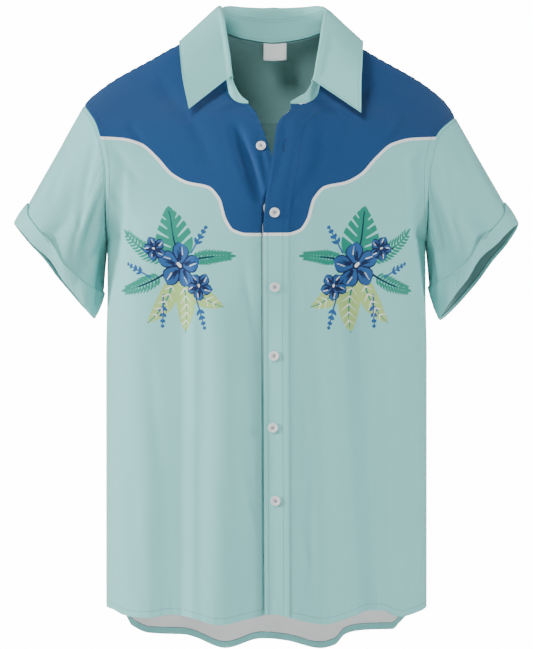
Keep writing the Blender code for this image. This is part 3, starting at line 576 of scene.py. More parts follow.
def backPanel():
    rows = [wholeGirth(s, float(read(backDepth, "y", z)), z) for s, z in backStations()]
    grid = np.array(rows)
    across, _ = gridSpans(grid)
    quiet = smooth(0, 0.017, np.minimum(across, across[:, -1:] - across))
    grid = pressFolds(grid, backFolds, quiet)
    normals = outwardOnly(gridNormals(grid), grid)
    for edge in (0, -1):
        normals[:len(backShares), edge, 1] = 0
    normals[-1, :, 2] = 0
    normals = unit(normals)
    for row, (station, _) in enumerate(backStations()):
        if station > 1:
            angle = -(2 - station) * pi
            for side, edge in (("right", 0), ("left", -1)):
                natural = leaningOut(side, normals[row, edge])
                normals[row, edge] = armholeNormal(side, angle, natural)
    for edge in (0, -1):
        grid[:len(backShares), edge, 1] -= seamLap
    grid[-1, :, 2] += seamLap
    return grid, normals


def yokeTop():
    halves = []
    for side in ("right", "left"):
        neck = neckStations(side)[1]
        tip = armholePoint(side, 0.0)
        x = np.linspace(neck[0, 0], tip[0], 80)
        line = np.stack([x, 0 * x, rowHeight(x, neck[0], tip, 2.0, None)], axis=1)
        seam = atLengths(line, np.linspace(0, lengths(line)[-1], shoulderColumns + 1))
        halves.append(np.array([*seam[::-1], *neck[1:]]))
    return np.array([*halves[0], *halves[1][-2::-1]])


def yokePanel(backGrid):
    low = backGrid[-1] + np.array([0, 0.0003, -2 * seamLap])
    top = yokeTop()
    turn = np.stack([
        0.5 * (low[:, 0] + top[:, 0]),
        0.86 * low[:, 1] + 0.14 * top[:, 1],
        0.80 * top[:, 2] + 0.20 * low[:, 2],
    ], axis=1)
    share = np.linspace(0, 1, yokeRows + 1)[:, None, None]
    grid = low * (1 - share) ** 2 + 2 * turn * share * (1 - share) + top * share**2
    angles = -np.linspace(1 - yokeShare, 0, yokeRows + 1) * pi
    columns = len(top)
    for side, edge, step in (("right", 0, 1), ("left", columns - 1, -1)):
        seam = armholePoint(side, angles)
        seam[0, 2] += seamGap / 2
        fix = seam - grid[:, edge]
        for k in range(3 * coarseStep):
            weight = np.interp(k / coarseStep, (0, 1, 2, 3), (1, 0.6, 0.25, 0))
            grid[:, edge + k * step] += fix * weight * (1 - min(k / coarseStep, 1) * share[:, 0] ** 4)
    normals = gridNormals(grid)
    normals *= np.sign((normals[..., 1] + normals[..., 2]).sum())
    normals[0, :, 2] = 0
    normals[-1, :shoulderColumns + 1, 1] = 0
    normals[-1, -shoulderColumns - 1:, 1] = 0
    normals = unit(normals)
    for row, angle in enumerate(angles):
        normals[row, 0] = armholeNormal("right", angle, normals[row, 0])
        normals[row, -1] = armholeNormal("left", angle, normals[row, -1])
    grid[-1, :shoulderColumns + 1, 1] -= seamLap
    grid[-1, -shoulderColumns - 1:, 1] -= seamLap
    return grid, normals


# Sleeves

def sleeveAngles():
    front = (2 - np.r_[
        np.linspace(1, 1 + neckShare, chestRows + 1),
        np.linspace(1 + neckShare, 2, neckRows + 1)[1:],
    ]) * pi
    back = (2 - np.r_[
        np.linspace(1, 1 + yokeShare, backArmRows + 1),
        np.linspace(1 + yokeShare, 2, yokeRows + 1)[1:],
    ]) * pi
    return np.r_[front[::-1], -back[1:-1] + 2 * pi]


def sleeveRing(side, angle, low):
    ends = sleeveEnd[side]
    names = ("rimOut", "rimIn") if low else ("lineOut", "lineIn")
    out, into = (np.array([ends[name][0], 0, ends[name][1]]) for name in names)
    middle, major = (out + into) / 2, (out - into) / 2
    down = unit(np.cross(major, [0, 1, 0]) * -sign[side])
    front = np.sin(angle)[:, None]
    shift = -rimTilt[side] * front if low else lineFrontSag * np.clip(front, 0, 1) ** 2
    halfDepth = rimHalfDepth if low else lineHalfDepth
    return (
        middle + major * np.cos(angle)[:, None] + down * shift
        + np.array([0, -halfDepth, 0]) * front
    )


def sleeveGrid(side, rows):
    angle = sleeveAngles()
    start = armholePoint(side, angle)
    line, rim = sleeveRing(side, angle, False), sleeveRing(side, angle, True)
    grid = []
    for row in rows:
        grid.append(start + (line - start) * row if row <= 1 else line + (rim - line) * (row - 1))
    grid = np.array(grid)
    outward = sleeveNormals(grid)
    degreesRound = np.degrees(angle)
    for index, row in enumerate(rows):
        press = np.zeros(len(angle))
        for atTop, atEnd, spread, depth, first, last in sleeveFolds[1]:
            centre = atTop + (atEnd - atTop) * min(row, 1)
            off = (degreesRound - centre + 180) % 360 - 180
            ends = smooth(first, first + 0.45, row) * smooth(last + 0.6, last - 0.2, row)
            press += depth * ends * (0.5 + 0.5 * np.cos(pi * np.clip(off / spread, -1, 1)))
        grid[index] -= outward[index] * press[:, None]
    return grid


def sleeveNormals(grid):
    normals = gridNormals(grid, ring=True)
    away = ((grid - grid.mean(axis=1, keepdims=True)) * normals).sum()
    return normals if away > 0 else -normals


# Collar

def wholeNeck():
    halves, shares = [], []
    for side in ("right", "left"):
        front, back = neckStations(side)
        half = np.array([*front, *back[1:]])
        halves.append(half)
        shares.append(lengths(half) / lengths(half)[-1])
    return np.array([*halves[0], *halves[1][-2::-1]]), np.r_[shares[0], shares[1][-2::-1]]


def neckFrames(seam):
    along = np.gradient(seam, axis=0)
    outward = np.cross(along, [0, 0, 1])
    outward[:, 2] = 0
    outward = unit(outward)
    centre = np.array([neckX, seam[:, 1].mean(), 0])
    away = ((seam - centre) * outward).sum()
    return outward if away > 0 else -outward


def standRows():
    seam, share = wholeNeck()
    outward = neckFrames(seam)
    height, lean = read(standTable, "height", share), read(standTable, "leanIn", share)
    across = np.cross(unit(np.gradient(seam, axis=0)), outward)
    across *= np.sign(across[:, 2:])
    rise = unit(across + np.array([0, 0, 0.6]) - outward * lean[:, None])
    rows = [seam + rise * (seamGap + (height[:, None] - seamGap) * level) for level in (0, 0.5, 1)]
    return np.array(rows), outward, rise, share


def leafPanel():
    rows, outward, rise, share = standRows()
    keep = slice(leafStart, len(share) - leafStart)
    top, outward, rise = rows[-1][keep], outward[keep], rise[keep]
    top = top - outward * collarWall / 2
    count = len(top)
    half = np.linspace(0, 1, count // 2 + 1)
    local = np.r_[half, half[-2::-1]]
    side = np.r_[-np.ones(count // 2 + 1), np.ones(count // 2)]
    lift, roll = read(leafRoll, "rise", local)[:, None], read(leafRoll, "roll", local)[:, None]
    left = side > 0
    edge = np.stack([
        neckX + side * (read(leafEdge, "x", local) + left * read(leafEdge, "leftOut", local)),
        read(leafEdge, "y", local),
        read(leafEdge, "z", local) - left * smooth(0.3, 0, local) * leftPointDrop,
    ], axis=1)
    start = top + rise * seamGap
    crest = start + rise * lift + outward * roll * 0.45
    fall = start + rise * (lift - 0.0035) + outward * (roll + 0.0020)
    grid = [start, start + rise * lift * 0.7, crest, fall]
    bow = (outward * 0.003 + np.array([0, 0, 0.003])) * smooth(0.6, 0.9, local)[:, None]
    for level in (0.25, 0.5, 0.75, 1.0):
        grid.append(fall + (edge - fall) * level + bow * 4 * level * (1 - level))
    grid = np.array(grid)
    normals = gridNormals(grid)
    normals *= np.sign((normals[0] * outward).sum())
    normals[0] = outward
    return grid, normals


def spotOn(grid, normals, edge, z):
    perRow = []
    for points, directions in zip(grid, normals):
        along = lengths(points)
        perRow.append([np.interp(edge, along, values) for values in (*points.T, *directions.T)])
    perRow = np.array(perRow)
    order = np.argsort(perRow[:, 2])
    spot = np.array([np.interp(z, perRow[order, 2], perRow[order, k]) for k in range(6)])
    return spot[:3], unit(spot[3:])


def labelPanel():
    _, back = neckSeam("left")
    rows = []
    for level in np.linspace(0, 1, labelRows + 1):
        x = np.linspace(*labelX, labelColumns + 1)
        order = np.argsort(back[:, 0])
        y = np.interp(abs(x - neckX) + neckX, back[order, 0], back[order, 1])
        z = np.interp(abs(x - neckX) + neckX, back[order, 0], back[order, 2])
        rows.append(np.stack([
            x, y - labelStandOff - labelCurl * level**2, z - labelDrop - labelHeight * level
        ], axis=1))
    grid = np.array(rows)
    return grid, np.broadcast_to(np.array([0.0, -1.0, 0.0]), grid.shape)


# Cloth meshes

seamLook = {
    "gatherLength": 0.0125,  # small gathers beside a seam: how long, how deep and how far they reach
    "gatherDepth": 0.0006,
    "gatherReach": 0.0065,
    "besideSeam": 0.003,  # gathers are deepest this far from a seam
    "hemStitch": 0.008,  # the hem is stitched this far above its edge
    "seamClear": 0.002,  # gathers end within this of a seam
    "creaseClear": 0.012,  # and creases within this
    "stitchLift": 0.0001,
    "stitchStep": 0.0031,
    "stitchLength": 0.0021,
    "stitchRadius": 0.00028,
}


def curveRows(rows, count):
    # a smooth surface through a few rows of points
    stops = np.linspace(0, len(rows) - 1, count)
    place = np.clip(stops.astype(int), 0, len(rows) - 2)
    t = (stops - place)[:, None, None]
    padded = np.concatenate([2 * rows[:1] - rows[1:2], rows, 2 * rows[-1:] - rows[-2:-1]])
    a, b, c, d = (padded[place + k] for k in range(4))
    return 0.5 * (2 * b + (c - a) * t + (2 * a - 5 * b + 4 * c - d) * t**2
                  + (3 * b - a - 3 * c + d) * t**3)


def creaseDepth(table, across, up):
    # soft troughs between two points each; a negative depth is a ridge
    pressed = np.zeros(np.broadcast(across, up).shape)
    for x1, z1, x2, z2, width, depth in table:
        dx, dz = x2 - x1, z2 - z1
        t = np.clip(((across - x1) * dx + (up - z1) * dz) / (dx * dx + dz * dz), 0, 1)
        off = np.hypot(across - x1 - dx * t, up - z1 - dz * t) / width
        pressed = pressed + depth * np.exp(-1.4 * off**2) * (4 * t * (1 - t)) ** 0.6
    return pressed


def seamRoll(fromEdge, width=0.0016, depth=0.0013):
    # cloth turns in at a seam
    return depth * np.clip(1 - fromEdge / width, 0, 1) ** 1.6


def pucker(fromSeam, along, phase=0.0):
    # uneven gathers along a seam, which fade away from it
    turn = along * 2 * pi / seamLook["gatherLength"] + 2.1 * np.sin(along * 37 + phase) + phase
    fade = np.exp(-fromSeam / seamLook["gatherReach"])
    return seamLook["gatherDepth"] * (0.5 + 0.5 * np.sin(turn)) * fade


def panelGathers(across, up, fromSide, fromTop, phases):
    # gathers beside the side seam, the hem and the top seam
    inset = seamLook["besideSeam"]
    return (
        pucker(abs(fromSide - inset), up, phases[0])
        + pucker(abs(up - seamLook["hemStitch"]), across, phases[1])
        + pucker(abs(fromTop - inset), across, phases[2])
    )


def sewnIn(gathers, *fromSeams):
    # gathers end at the seams, and the cloth rolls into each of them
    for distance in fromSeams:
        gathers = gathers * smooth(0, seamLook["seamClear"], distance)
    for distance in fromSeams:
        gathers = gathers + seamRoll(distance)
    return gathers


def hemBand(fine, coarse, skip):
    # triangles between a fine edge and a coarse one that has every skip-th point of it
    faces = []
    near = [min(int(round(i / skip)), len(coarse) - 1) for i in range(len(fine))]
    for i in range(len(fine) - 1):
        faces.append((fine[i + 1], fine[i], coarse[near[i]]))
        if near[i + 1] != near[i]:
            faces.append((fine[i + 1], coarse[near[i]], coarse[near[i + 1]]))
    return faces


def quads(rows, columns, first, ring, turned):
    r = np.arange(rows - 1)[:, None]
    c = np.arange(columns if ring else columns - 1)[None, :]
    d = (c + 1) % columns
    faces = np.stack(np.broadcast_arrays(
        first + r * columns + c, first + r * columns + d,
        first + (r + 1) * columns + d, first + (r + 1) * columns + c,
    ), axis=-1).reshape(-1, 4)
    return faces[:, ::-1] if turned else faces


def closedTube(rows, columns):
    # faces round rings of points, and one over each end
    last = (rows - 1) * columns
    ends = [list(range(columns))[::-1], [last + c for c in range(columns)]]
    return quads(rows, columns, 0, True, False).tolist() + ends


def facesInward(points, normal):
    # whether faces made by quads would look away from the normal
    return np.cross(points[1, 1] - points[0, 1], points[1, 1] - points[1, 0]) @ normal > 0


def addPiece(name, points, faces, finishes, kinds=None, smoothAngle=50):
    mesh = bpy.data.meshes.new(name)
    mesh.from_pydata(np.asarray(points, float).tolist(), [], [list(map(int, f)) for f in faces])
    for finish in finishes:
        mesh.materials.append(finish)
    if kinds is not None:
        mesh.polygons.foreach_set("material_index", np.asarray(kinds, np.int32))
    mesh.update()
    mesh.shade_smooth()
    mesh.set_sharp_from_angle(angle=radians(smoothAngle))
    piece = bpy.data.objects.new(name, mesh)
    bpy.context.scene.collection.objects.link(piece)
    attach(piece, "root")
    return piece


def setValues(piece, name, values, rest):
    # a value for each point of the outer face; the other points get rest
    mesh = piece.data
    width = np.shape(values)[-1] if np.ndim(values) == 3 else 1
    filled = np.full((len(mesh.vertices), width), rest, np.float32)
    flat = np.asarray(values, np.float32).reshape(-1, width)
    filled[:len(flat)] = flat
    kind, key = ("FLOAT_VECTOR", "vector") if width == 3 else ("FLOAT", "value")
    mesh.attributes.new(name, kind, "POINT").data.foreach_set(key, filled.ravel())


def setSpans(piece, across, up):
    # where each point lies in its piece of cloth, for the weave
    setValues(piece, "cloth", np.stack([across, up, 0 * up], axis=-1), 0)


def clothShell(name, grid, normals, out, into, finishes, skip=1, ring=False, turnedEdge=None):
    # A thin closed shell: the outer face lies out from the grid, the inner one into it, with every
    # skip-th point. Finishes are for the outer face, the inner face, the edge at the first column
    # and, as the last one, the other edges. Where turnedEdge is true, the inner face has the outer's.
    rows, columns = grid.shape[:2]
    outer = grid + normals * out
    inner = (grid - normals * into)[::skip, ::skip]
    innerRows, innerColumns = inner.shape[:2]
    half = rows * columns
    front = quads(rows, columns, 0, ring, False)
    back = quads(innerRows, innerColumns, half, ring, True)
    kinds = [0] * len(front) + [1] * len(back)
    if turnedEdge is not None:
        kinds[len(front):] = np.where(turnedEdge[:-1:skip, :innerColumns - 1].ravel(), 0, 1).tolist()
    index = np.arange(half).reshape(rows, columns)
    thin = half + np.arange(innerRows * innerColumns).reshape(innerRows, innerColumns)
    others = len(finishes) - 1
    edges = [(lambda g: g[0], False, others), (lambda g: g[-1], True, others)]
    if not ring:
        edges += [(lambda g: g[:, -1], False, others), (lambda g: g[:, 0], True, 2)]
    faces = front.tolist() + back.tolist()
    for pick, turned, kind in edges:
        fine, coarse = pick(index).tolist(), pick(thin).tolist()
        if ring:
            fine, coarse = fine + fine[:1], coarse + coarse[:1]
        band = hemBand(fine, coarse, skip)
        faces += [f[::-1] for f in band] if turned else band
        kinds += [kind] * len(band)
    points = np.concatenate([outer.reshape(-1, 3), inner.reshape(-1, 3)])
    if facesInward(outer, normals[1, 1]):
        faces = [f[::-1] for f in faces]
    piece = addPiece(name, points, faces, finishes, kinds)
    setSpans(piece, *gridSpans(grid))
    return piece


def edgeLine(grid, normals, side, inset, lift=0.0):
    # points and directions along a grid at a distance from one of its edges
    if side in ("left", "right"):
        grid, normals = grid.transpose(1, 0, 2), normals.transpose(1, 0, 2)
    if side in ("top", "right"):
        grid, normals = grid[::-1], normals[::-1]
    _, up = gridSpans(grid)
    place = np.array([np.interp(inset, up[:, c], np.arange(len(up))) for c in range(up.shape[1])])
    low = np.clip(place.astype(int), 0, len(grid) - 2)
    t = (place - low)[:, None]
    each = np.arange(grid.shape[1])
    points = grid[low, each] * (1 - t) + grid[low + 1, each] * t
    ways = unit(normals[low, each] * (1 - t) + normals[low + 1, each] * t)
    return points + ways * lift, ways


def evenly(line, ways, step):
    along = lengths(line)
    stops = np.arange(step / 2, along[-1], step)
    points, back, ahead, out = (
        np.stack([np.interp(stops + shift, along, rows[:, k]) for k in range(3)], axis=1)
        for rows, shift in ((line, 0), (line, -0.0004), (line, 0.0004), (ways, 0))
    )
    return points, unit(ahead - back), unit(out)


def stitchMeshes(lines, radius=None, length=None, step=None):
    # rounded stitches along each line, as one set of points and faces
    radius = radius or seamLook["stitchRadius"]
    length, step = length or seamLook["stitchLength"], step or seamLook["stitchStep"]
    sides = 6
    rings = ((-0.5, 0.35), (-0.40, 0.9), (0.0, 1.15), (0.40, 0.9), (0.5, 0.35))  # share along, thickness
    angle = np.arange(sides) * 2 * pi / sides
    one = closedTube(len(rings), sides)
    points, faces, start = [], [], 0
    for line, ways in lines:
        middle, along, out = evenly(line, ways, step)
        across = unit(np.cross(along, out))
        body = np.stack([
            middle[:, None] + along[:, None] * (share * length) + radius * size * (
                across[:, None] * np.cos(angle)[None, :, None]
                + out[:, None] * (np.sin(angle) - abs(share) * 1.2)[None, :, None]
            ) for share, size in rings
        ], axis=1).reshape(len(middle), -1, 3)
        for stitch in body:
            points.append(stitch)
            faces += [tuple(k + start for k in f) for f in one]
            start += len(stitch)
    return np.concatenate(points), faces


def addStitches(name, lines, finish, **sizes):
    points, faces = stitchMeshes(lines, **sizes)
    return addPiece(name, points, faces, [finish])


# Finishes

def ink(red, green, blue):
    # a colour as seen on a screen, as the linear one that a shader wants
    seen = np.array([red, green, blue]) / 255
    return tuple(np.where(seen > 0.04045, ((seen + 0.055) / 1.055) ** 2.4, seen / 12.92)) + (1.0,)


class Wire:
    # one output of a node; + - * / with wires or numbers add Math nodes
    def __init__(self, tree, socket=None):
        self.tree, self.socket = tree, socket

    def node(self, kind, settings=None, sockets=None, out=0):
        made = self.tree.nodes.new(kind)
        for key, value in (settings or {}).items():
            setattr(made, key, value)
        for key, value in (sockets or {}).items():
            if isinstance(value, Wire):
                self.tree.links.new(value.socket, made.inputs[key])
            else:
                made.inputs[key].default_value = value
        return Wire(self.tree, made.outputs[out])

    def sum(self, operation, first, second, clamp=False):
        settings = {"operation": operation, "use_clamp": clamp}
        return self.node("ShaderNodeMath", settings, {0: first, 1: second})

    def __add__(self, other): return self.sum("ADD", self, other)
    def __radd__(self, other): return self.sum("ADD", other, self)
    def __sub__(self, other): return self.sum("SUBTRACT", self, other)
    def __rsub__(self, other): return self.sum("SUBTRACT", other, self)
    def __mul__(self, other): return self.sum("MULTIPLY", self, other)
    def __rmul__(self, other): return self.sum("MULTIPLY", other, self)
    def __truediv__(self, other): return self.sum("DIVIDE", self, other)

    def wave(self):
        return self.node("ShaderNodeMath", {"operation": "SINE"}, {0: self})

    def clamped(self):
        return self.sum("ADD", self, 0.0, clamp=True)

    def mix(self, under, over, share):
        return self.node("ShaderNodeMix", {"data_type": "RGBA"}, {0: share, 6: under, 7: over}, 2)

    def value(self, name):
        return self.node("ShaderNodeAttribute", {"attribute_name": name}, out="Fac")


clothLook = {
    "threadPitch": 0.00085,  # metres between threads
    "threadDepth": 0.000035,
    "slubScale": 420.0,
    "slubDepth": 0.00002,
    "broadScale": 7.0,
    "rumpleScale": 26.0,
    "rumpleDepth": 0.00055,
    "fineRumpleScale": 95.0,
    "fineRumpleDepth": 0.00012,
    "roughness": 0.86,
    "roughnessSpread": 0.10,
    "shade": (0.955, 0.06, 0.03),  # the least, and what the slubs and the broad clouds add
    "sheen": 0.12,
    "specular": 0.25,
    "printEdge": 0.35,  # millimetres over which one ink gives way to the next
}
colours = {
    "teal": ink(141, 216, 213),
    "tealInside": ink(124, 168, 167),
    "blue": ink(23, 70, 120),
    "white": ink(246, 247, 246),
    "reverse": ink(250, 251, 251),
    "leafGreen": ink(35, 140, 118),
    "lime": ink(170, 207, 125),
    "navy": ink(18, 34, 74),
    "petalBlue": ink(44, 92, 150),
    "accent": ink(240, 242, 238),
    "button": ink(236, 234, 236),
    "buttonShade": ink(214, 212, 218),
    "buttonThread": ink(160, 160, 170),
    "tealThread": ink(98, 150, 148),
    "blueThread": ink(20, 60, 104),
    # painted shade: a dark teal put on the cloth's cut edges for the shadow lines along them
    "paintedEdgeShade": ink(62, 92, 92),
    "holeThread": ink(14, 40, 84),
    "hemThread": ink(48, 78, 80),
}


def clothFinish(name, colour, rumple=1.0):
    # colour is fixed, or a function that builds one from the tree
    finish = bpy.data.materials.new(name)
    finish.use_nodes = True
    tree = finish.node_tree
    shader = tree.nodes["Principled BSDF"]
    start = Wire(tree)
    cloth = start.node("ShaderNodeAttribute", {"attribute_name": "cloth"}, out="Vector")
    parts = start.node("ShaderNodeSeparateXYZ", None, {0: cloth})
    along, up = parts, Wire(tree, parts.socket.node.outputs[1])
    turn = 2 * pi / clothLook["threadPitch"]
    weave = (along * turn).wave() * (up * turn).wave()
    place = start.node("ShaderNodeTexCoord", out="Object")
    slub = start.node("ShaderNodeTexNoise", None, {
        "Vector": place, "Scale": clothLook["slubScale"], "Detail": 2.0})
    broad = start.node("ShaderNodeTexNoise", None, {
        "Vector": place, "Scale": clothLook["broadScale"], "Detail": 2.0})
    soft = start.node("ShaderNodeTexNoise", None, {
        "Vector": place, "Scale": clothLook["rumpleScale"], "Detail": 1.5, "Roughness": 0.45})
    fine = start.node("ShaderNodeTexNoise", None, {
        "Vector": place, "Scale": clothLook["fineRumpleScale"], "Detail": 2.0, "Roughness": 0.5})
    base = colour(start) if callable(colour) else start.node("ShaderNodeRGB")
    if not callable(colour):
        base.socket.default_value = colour
    least, bySlub, byBroad = clothLook["shade"]
    shade = least + bySlub * slub + byBroad * broad
    toned = start.node("ShaderNodeHueSaturation", None, {"Value": shade, "Color": base})
    height = (
        weave * clothLook["threadDepth"] + soft * (clothLook["rumpleDepth"] * rumple)
        + fine * (clothLook["fineRumpleDepth"] * rumple) + slub * clothLook["slubDepth"]
    )
    bump = start.node("ShaderNodeBump", None, {"Height": height, "Distance": 1.0, "Strength": 1.0})
    spread = clothLook["roughnessSpread"]
    rough = clothLook["roughness"] - spread / 2 + spread * slub
    tree.links.new(toned.socket, shader.inputs["Base Color"])
    tree.links.new(rough.socket, shader.inputs["Roughness"])
    tree.links.new(bump.socket, shader.inputs["Normal"])
    shader.inputs["Sheen Weight"].default_value = clothLook["sheen"]
    shader.inputs["Specular IOR Level"].default_value = clothLook["specular"]
    return finish


def inkShare(distance):
    # 1 inside an ink's shape and 0 outside it, from a distance in millimetres
    return (0.5 - distance * (1 / clothLook["printEdge"])).clamped()


def yokeColour(start):
    # blue above the line, teal below it, and the white line itself
    away = start.value("yokeLine") * 1000
    colour = start.mix(colours["blue"], colours["teal"], inkShare(away))
    band = start.node("ShaderNodeMath", {"operation": "ABSOLUTE"}, {0: away})
    return start.mix(colour, colours["white"], inkShare(band - yokeLook["lineHalfWidth"]))


def printedColour(start):
    colour = yokeColour(start)
    for name in chestPrint["inks"]:
        colour = start.mix(colour, colours[name], inkShare(start.value(name)))
    return colour


def threadColour(start):
    away = start.value("yokeLine") * 1000
    return start.mix(colours["blueThread"], colours["tealThread"], inkShare(away))


def reverseWithPaintedShade(start):
    # the reverse is white low down; high up it is painted the darker inside teal, as painted shade inside the
    # neck
    place = start.node("ShaderNodeTexCoord", out="Object")
    parts = start.node("ShaderNodeSeparateXYZ", None, {0: place})
    high = ((Wire(start.tree, parts.socket.node.outputs[2]) + 0.42) * 5.0).clamped()
    return start.mix(colours["reverse"], colours["tealInside"], high)


def shellFinish():
    finish = bpy.data.materials.new("button_shell")
    finish.use_nodes = True
    shader = finish.node_tree.nodes["Principled BSDF"]
    start = Wire(finish.node_tree)
    place = start.node("ShaderNodeTexCoord", out="Object")
    clouds = start.node("ShaderNodeTexNoise", None, {"Vector": place, "Scale": 260.0, "Detail": 2.0})
    colour = start.mix(colours["button"], colours["buttonShade"], clouds * 0.6)
    finish.node_tree.links.new(colour.socket, shader.inputs["Base Color"])
    rough = 0.22 + 0.12 * clouds
    finish.node_tree.links.new(rough.socket, shader.inputs["Roughness"])
    shader.inputs["Coat Weight"].default_value = 0.3
    return finish


# The print: a blue yoke with a white lower line, and a chest print that is mirrored on both fronts

yokeLook = {
    "lineHalfWidth": 1.9,  # millimetres
    # millimetres out from the centre and up; both halves are alike
    "frontLine": (
        (0, -265), (24, -265), (42, -260), (52, -246), (60, -220), (74, -205), (100, -199),
        (120, -188), (140, -166), (160, -149), (185, -142), (216, -140),
    ),
    "backLine": (
        (0, -189), (40, -188), (80, -184), (118, -172), (150, -152), (180, -142), (216, -140),
    ),
}


def yokeDistance(grid, line):
    # metres above the line, measured straight to it
    half = np.array(line) / 1000
    corners = np.concatenate([half[:0:-1] * [-1, 1], half])
    dense = np.linspace(corners[0, 0], corners[-1, 0], 420)
    line = np.stack([dense, curveThrough(corners[:, 0], corners[:, 1], dense)], axis=1)
    spots = grid[..., [0, 2]].reshape(-1, 2)
    near = np.full(len(spots), 9.0)
    for start, end in zip(line[:-1], line[1:]):
        step = end - start
        t = np.clip(((spots - start) @ step) / (step @ step), 0, 1)
        near = np.minimum(near, np.linalg.norm(spots - start - t[:, None] * step, axis=1))
    above = spots[:, 1] > np.interp(spots[:, 0], line[:, 0], line[:, 1])
    return np.where(above, near, -near).reshape(grid.shape[:2])


farOff = 50.0  # millimetres, well outside every shape of the print
chestPrint = {
    "inks": ("leafGreen", "lime", "petalBlue", "navy", "accent"),  # each one prints over those before
    "zone": ((20, 215), (-400, -190)),  # mm out from the centre and up, within which it lies
    "fronds": (  # fern fronds: from, bend, to, leaflet length, in mm out from the centre and up
        ((122, -300), (150, -296), (192, -262), 17),
        ((112, -300), (84, -292), (48, -292), 14),
        ((126, -306), (158, -330), (196, -334), 15),
    ),
    "splitLeaf": {"base": (116, -300), "tip": (128, -228), "width": 25},
    "bananaLeaves": (  # base, tip, half width, bend
        ((110, -310), (56, -356), 13.0, 0.12),
        ((118, -312), (112, -388), 14.0, -0.08),
        ((126, -308), (162, -376), 12.0, -0.12),
    ),
    "petals": 5,
    "petalShape": (0.36, 0.10, 0.62),  # half width over length, bend, where it is widest
    "flowers": (  # centre, petal length, first petal's turn in degrees
        ((116, -304), 30, 20),
        ((88, -330), 18, 50),
        ((148, -282), 16, -8),
    ),
    "sprigs": (  # small blue sprigs: foot, tip
        ((98, -288), (78, -254)),
        ((92, -346), (82, -384)),
        ((140, -340), (142, -382)),
        ((156, -318), (190, -300)),
    ),
}


def bezier(start, bend, end, count=14):
    t = np.linspace(0, 1, count)[:, None]
    return np.array(start) * (1 - t) ** 2 + 2 * np.array(bend) * t * (1 - t) + np.array(end) * t**2


def strokeField(spots, path, halfWidths):
    # millimetres outside a line that may taper
    path = np.asarray(path, float)
    halfWidths = np.interp(np.linspace(0, 1, len(path)), np.linspace(0, 1, len(halfWidths)), halfWidths)
    field = np.full(len(spots), farOff)
    for k in range(len(path) - 1):
        step = path[k + 1] - path[k]
        t = np.clip(((spots - path[k]) @ step) / (step @ step), 0, 1)
        away = np.linalg.norm(spots - path[k] - t[:, None] * step, axis=1)
        field = np.minimum(field, away - halfWidths[k] - (halfWidths[k + 1] - halfWidths[k]) * t)
    return field


def leafField(spots, base, tip, halfWidth, bend=0.0, fat=0.42):
    # a pointed leaf; fat says where along it the leaf is widest
    base, tip = np.array(base, float), np.array(tip, float)
    length = np.linalg.norm(tip - base)
    way = (tip - base) / length
    t = (spots - base) @ way / length
    off = (spots - base) @ np.array([-way[1], way[0]])
    inside = np.clip(t, 0, 1)
    off = off - bend * length * 4 * inside * (1 - inside)
    power = np.log(0.5) / np.log(fat)
    width = halfWidth * np.sin(pi * inside**power) ** 0.8
    past = np.maximum(np.maximum(-t, t - 1), 0) * length
    return np.hypot(past, np.maximum(abs(off) - width, 0)) - np.maximum(width - abs(off), 0) * (past == 0)


def turnedPoint(centre, length, degreesTurn):
    angle = radians(degreesTurn)
    return (centre[0] + length * np.cos(angle), centre[1] + length * np.sin(angle))


def degreesOf(way):
    return np.degrees(np.arctan2(way[1], way[0]))


def frondInto(fields, spots, start, bend, end, leaflet):
    spine = bezier(start, bend, end, 18)
    fields["leafGreen"].append(strokeField(spots, spine, (1.5, 0.9)))
    for k in range(5, len(spine) - 1):
        turn = degreesOf(spine[k + 1] - spine[k])
        size = leaflet * (1.15 - 0.045 * (k - 5)) * (0.55 + 0.45 * min(1, (k - 4) / 4))
        for side in (-1, 1):
            tip = turnedPoint(spine[k], size, turn + side * (62 - 1.6 * k))
            fields["leafGreen"].append(leafField(spots, spine[k], tip, 1.5, 0.07 * side))
    fields["leafGreen"].append(leafField(spots, spine[-2], spine[-1] + (spine[-1] - spine[-3]), 2.2))
    fields["navy"].append(strokeField(spots, spine[:13], (1.5, 0.75)))


def splitLeafInto(fields, spots, base, tip, width):
    # a broad leaf with deep notches between its lobes
    body = leafField(spots, base, tip, width, fat=0.36)
    base, tip = np.array(base, float), np.array(tip, float)
    turn = degreesOf(tip - base)
    for k, share in enumerate((0.20, 0.36, 0.52, 0.68, 0.82)):
        root = base + (tip - base) * (share + 0.02)
        for side in (-1, 1):
            start = turnedPoint(root, width * 0.34, turn + side * 52)
            end = turnedPoint(root, width * 1.5, turn + side * (58 - 5 * k))
            body = np.maximum(body, -strokeField(spots, (start, end), (0.9, 2.7)))
    fields["leafGreen"].append(body)
    fields["navy"].append(strokeField(spots, (base, base + (tip - base) * 0.9), (1.2, 0.8)))


def petalTurns(turn):
    return [turn + 360 // chestPrint["petals"] * k for k in range(chestPrint["petals"])]


def petalFields(spots, centre, petal, turn):
    halfWidth, bend, fat = chestPrint["petalShape"]
    tips = [turnedPoint(centre, petal, angle) for angle in petalTurns(turn)]
    return [leafField(spots, centre, tip, petal * halfWidth, bend, fat) for tip in tips]


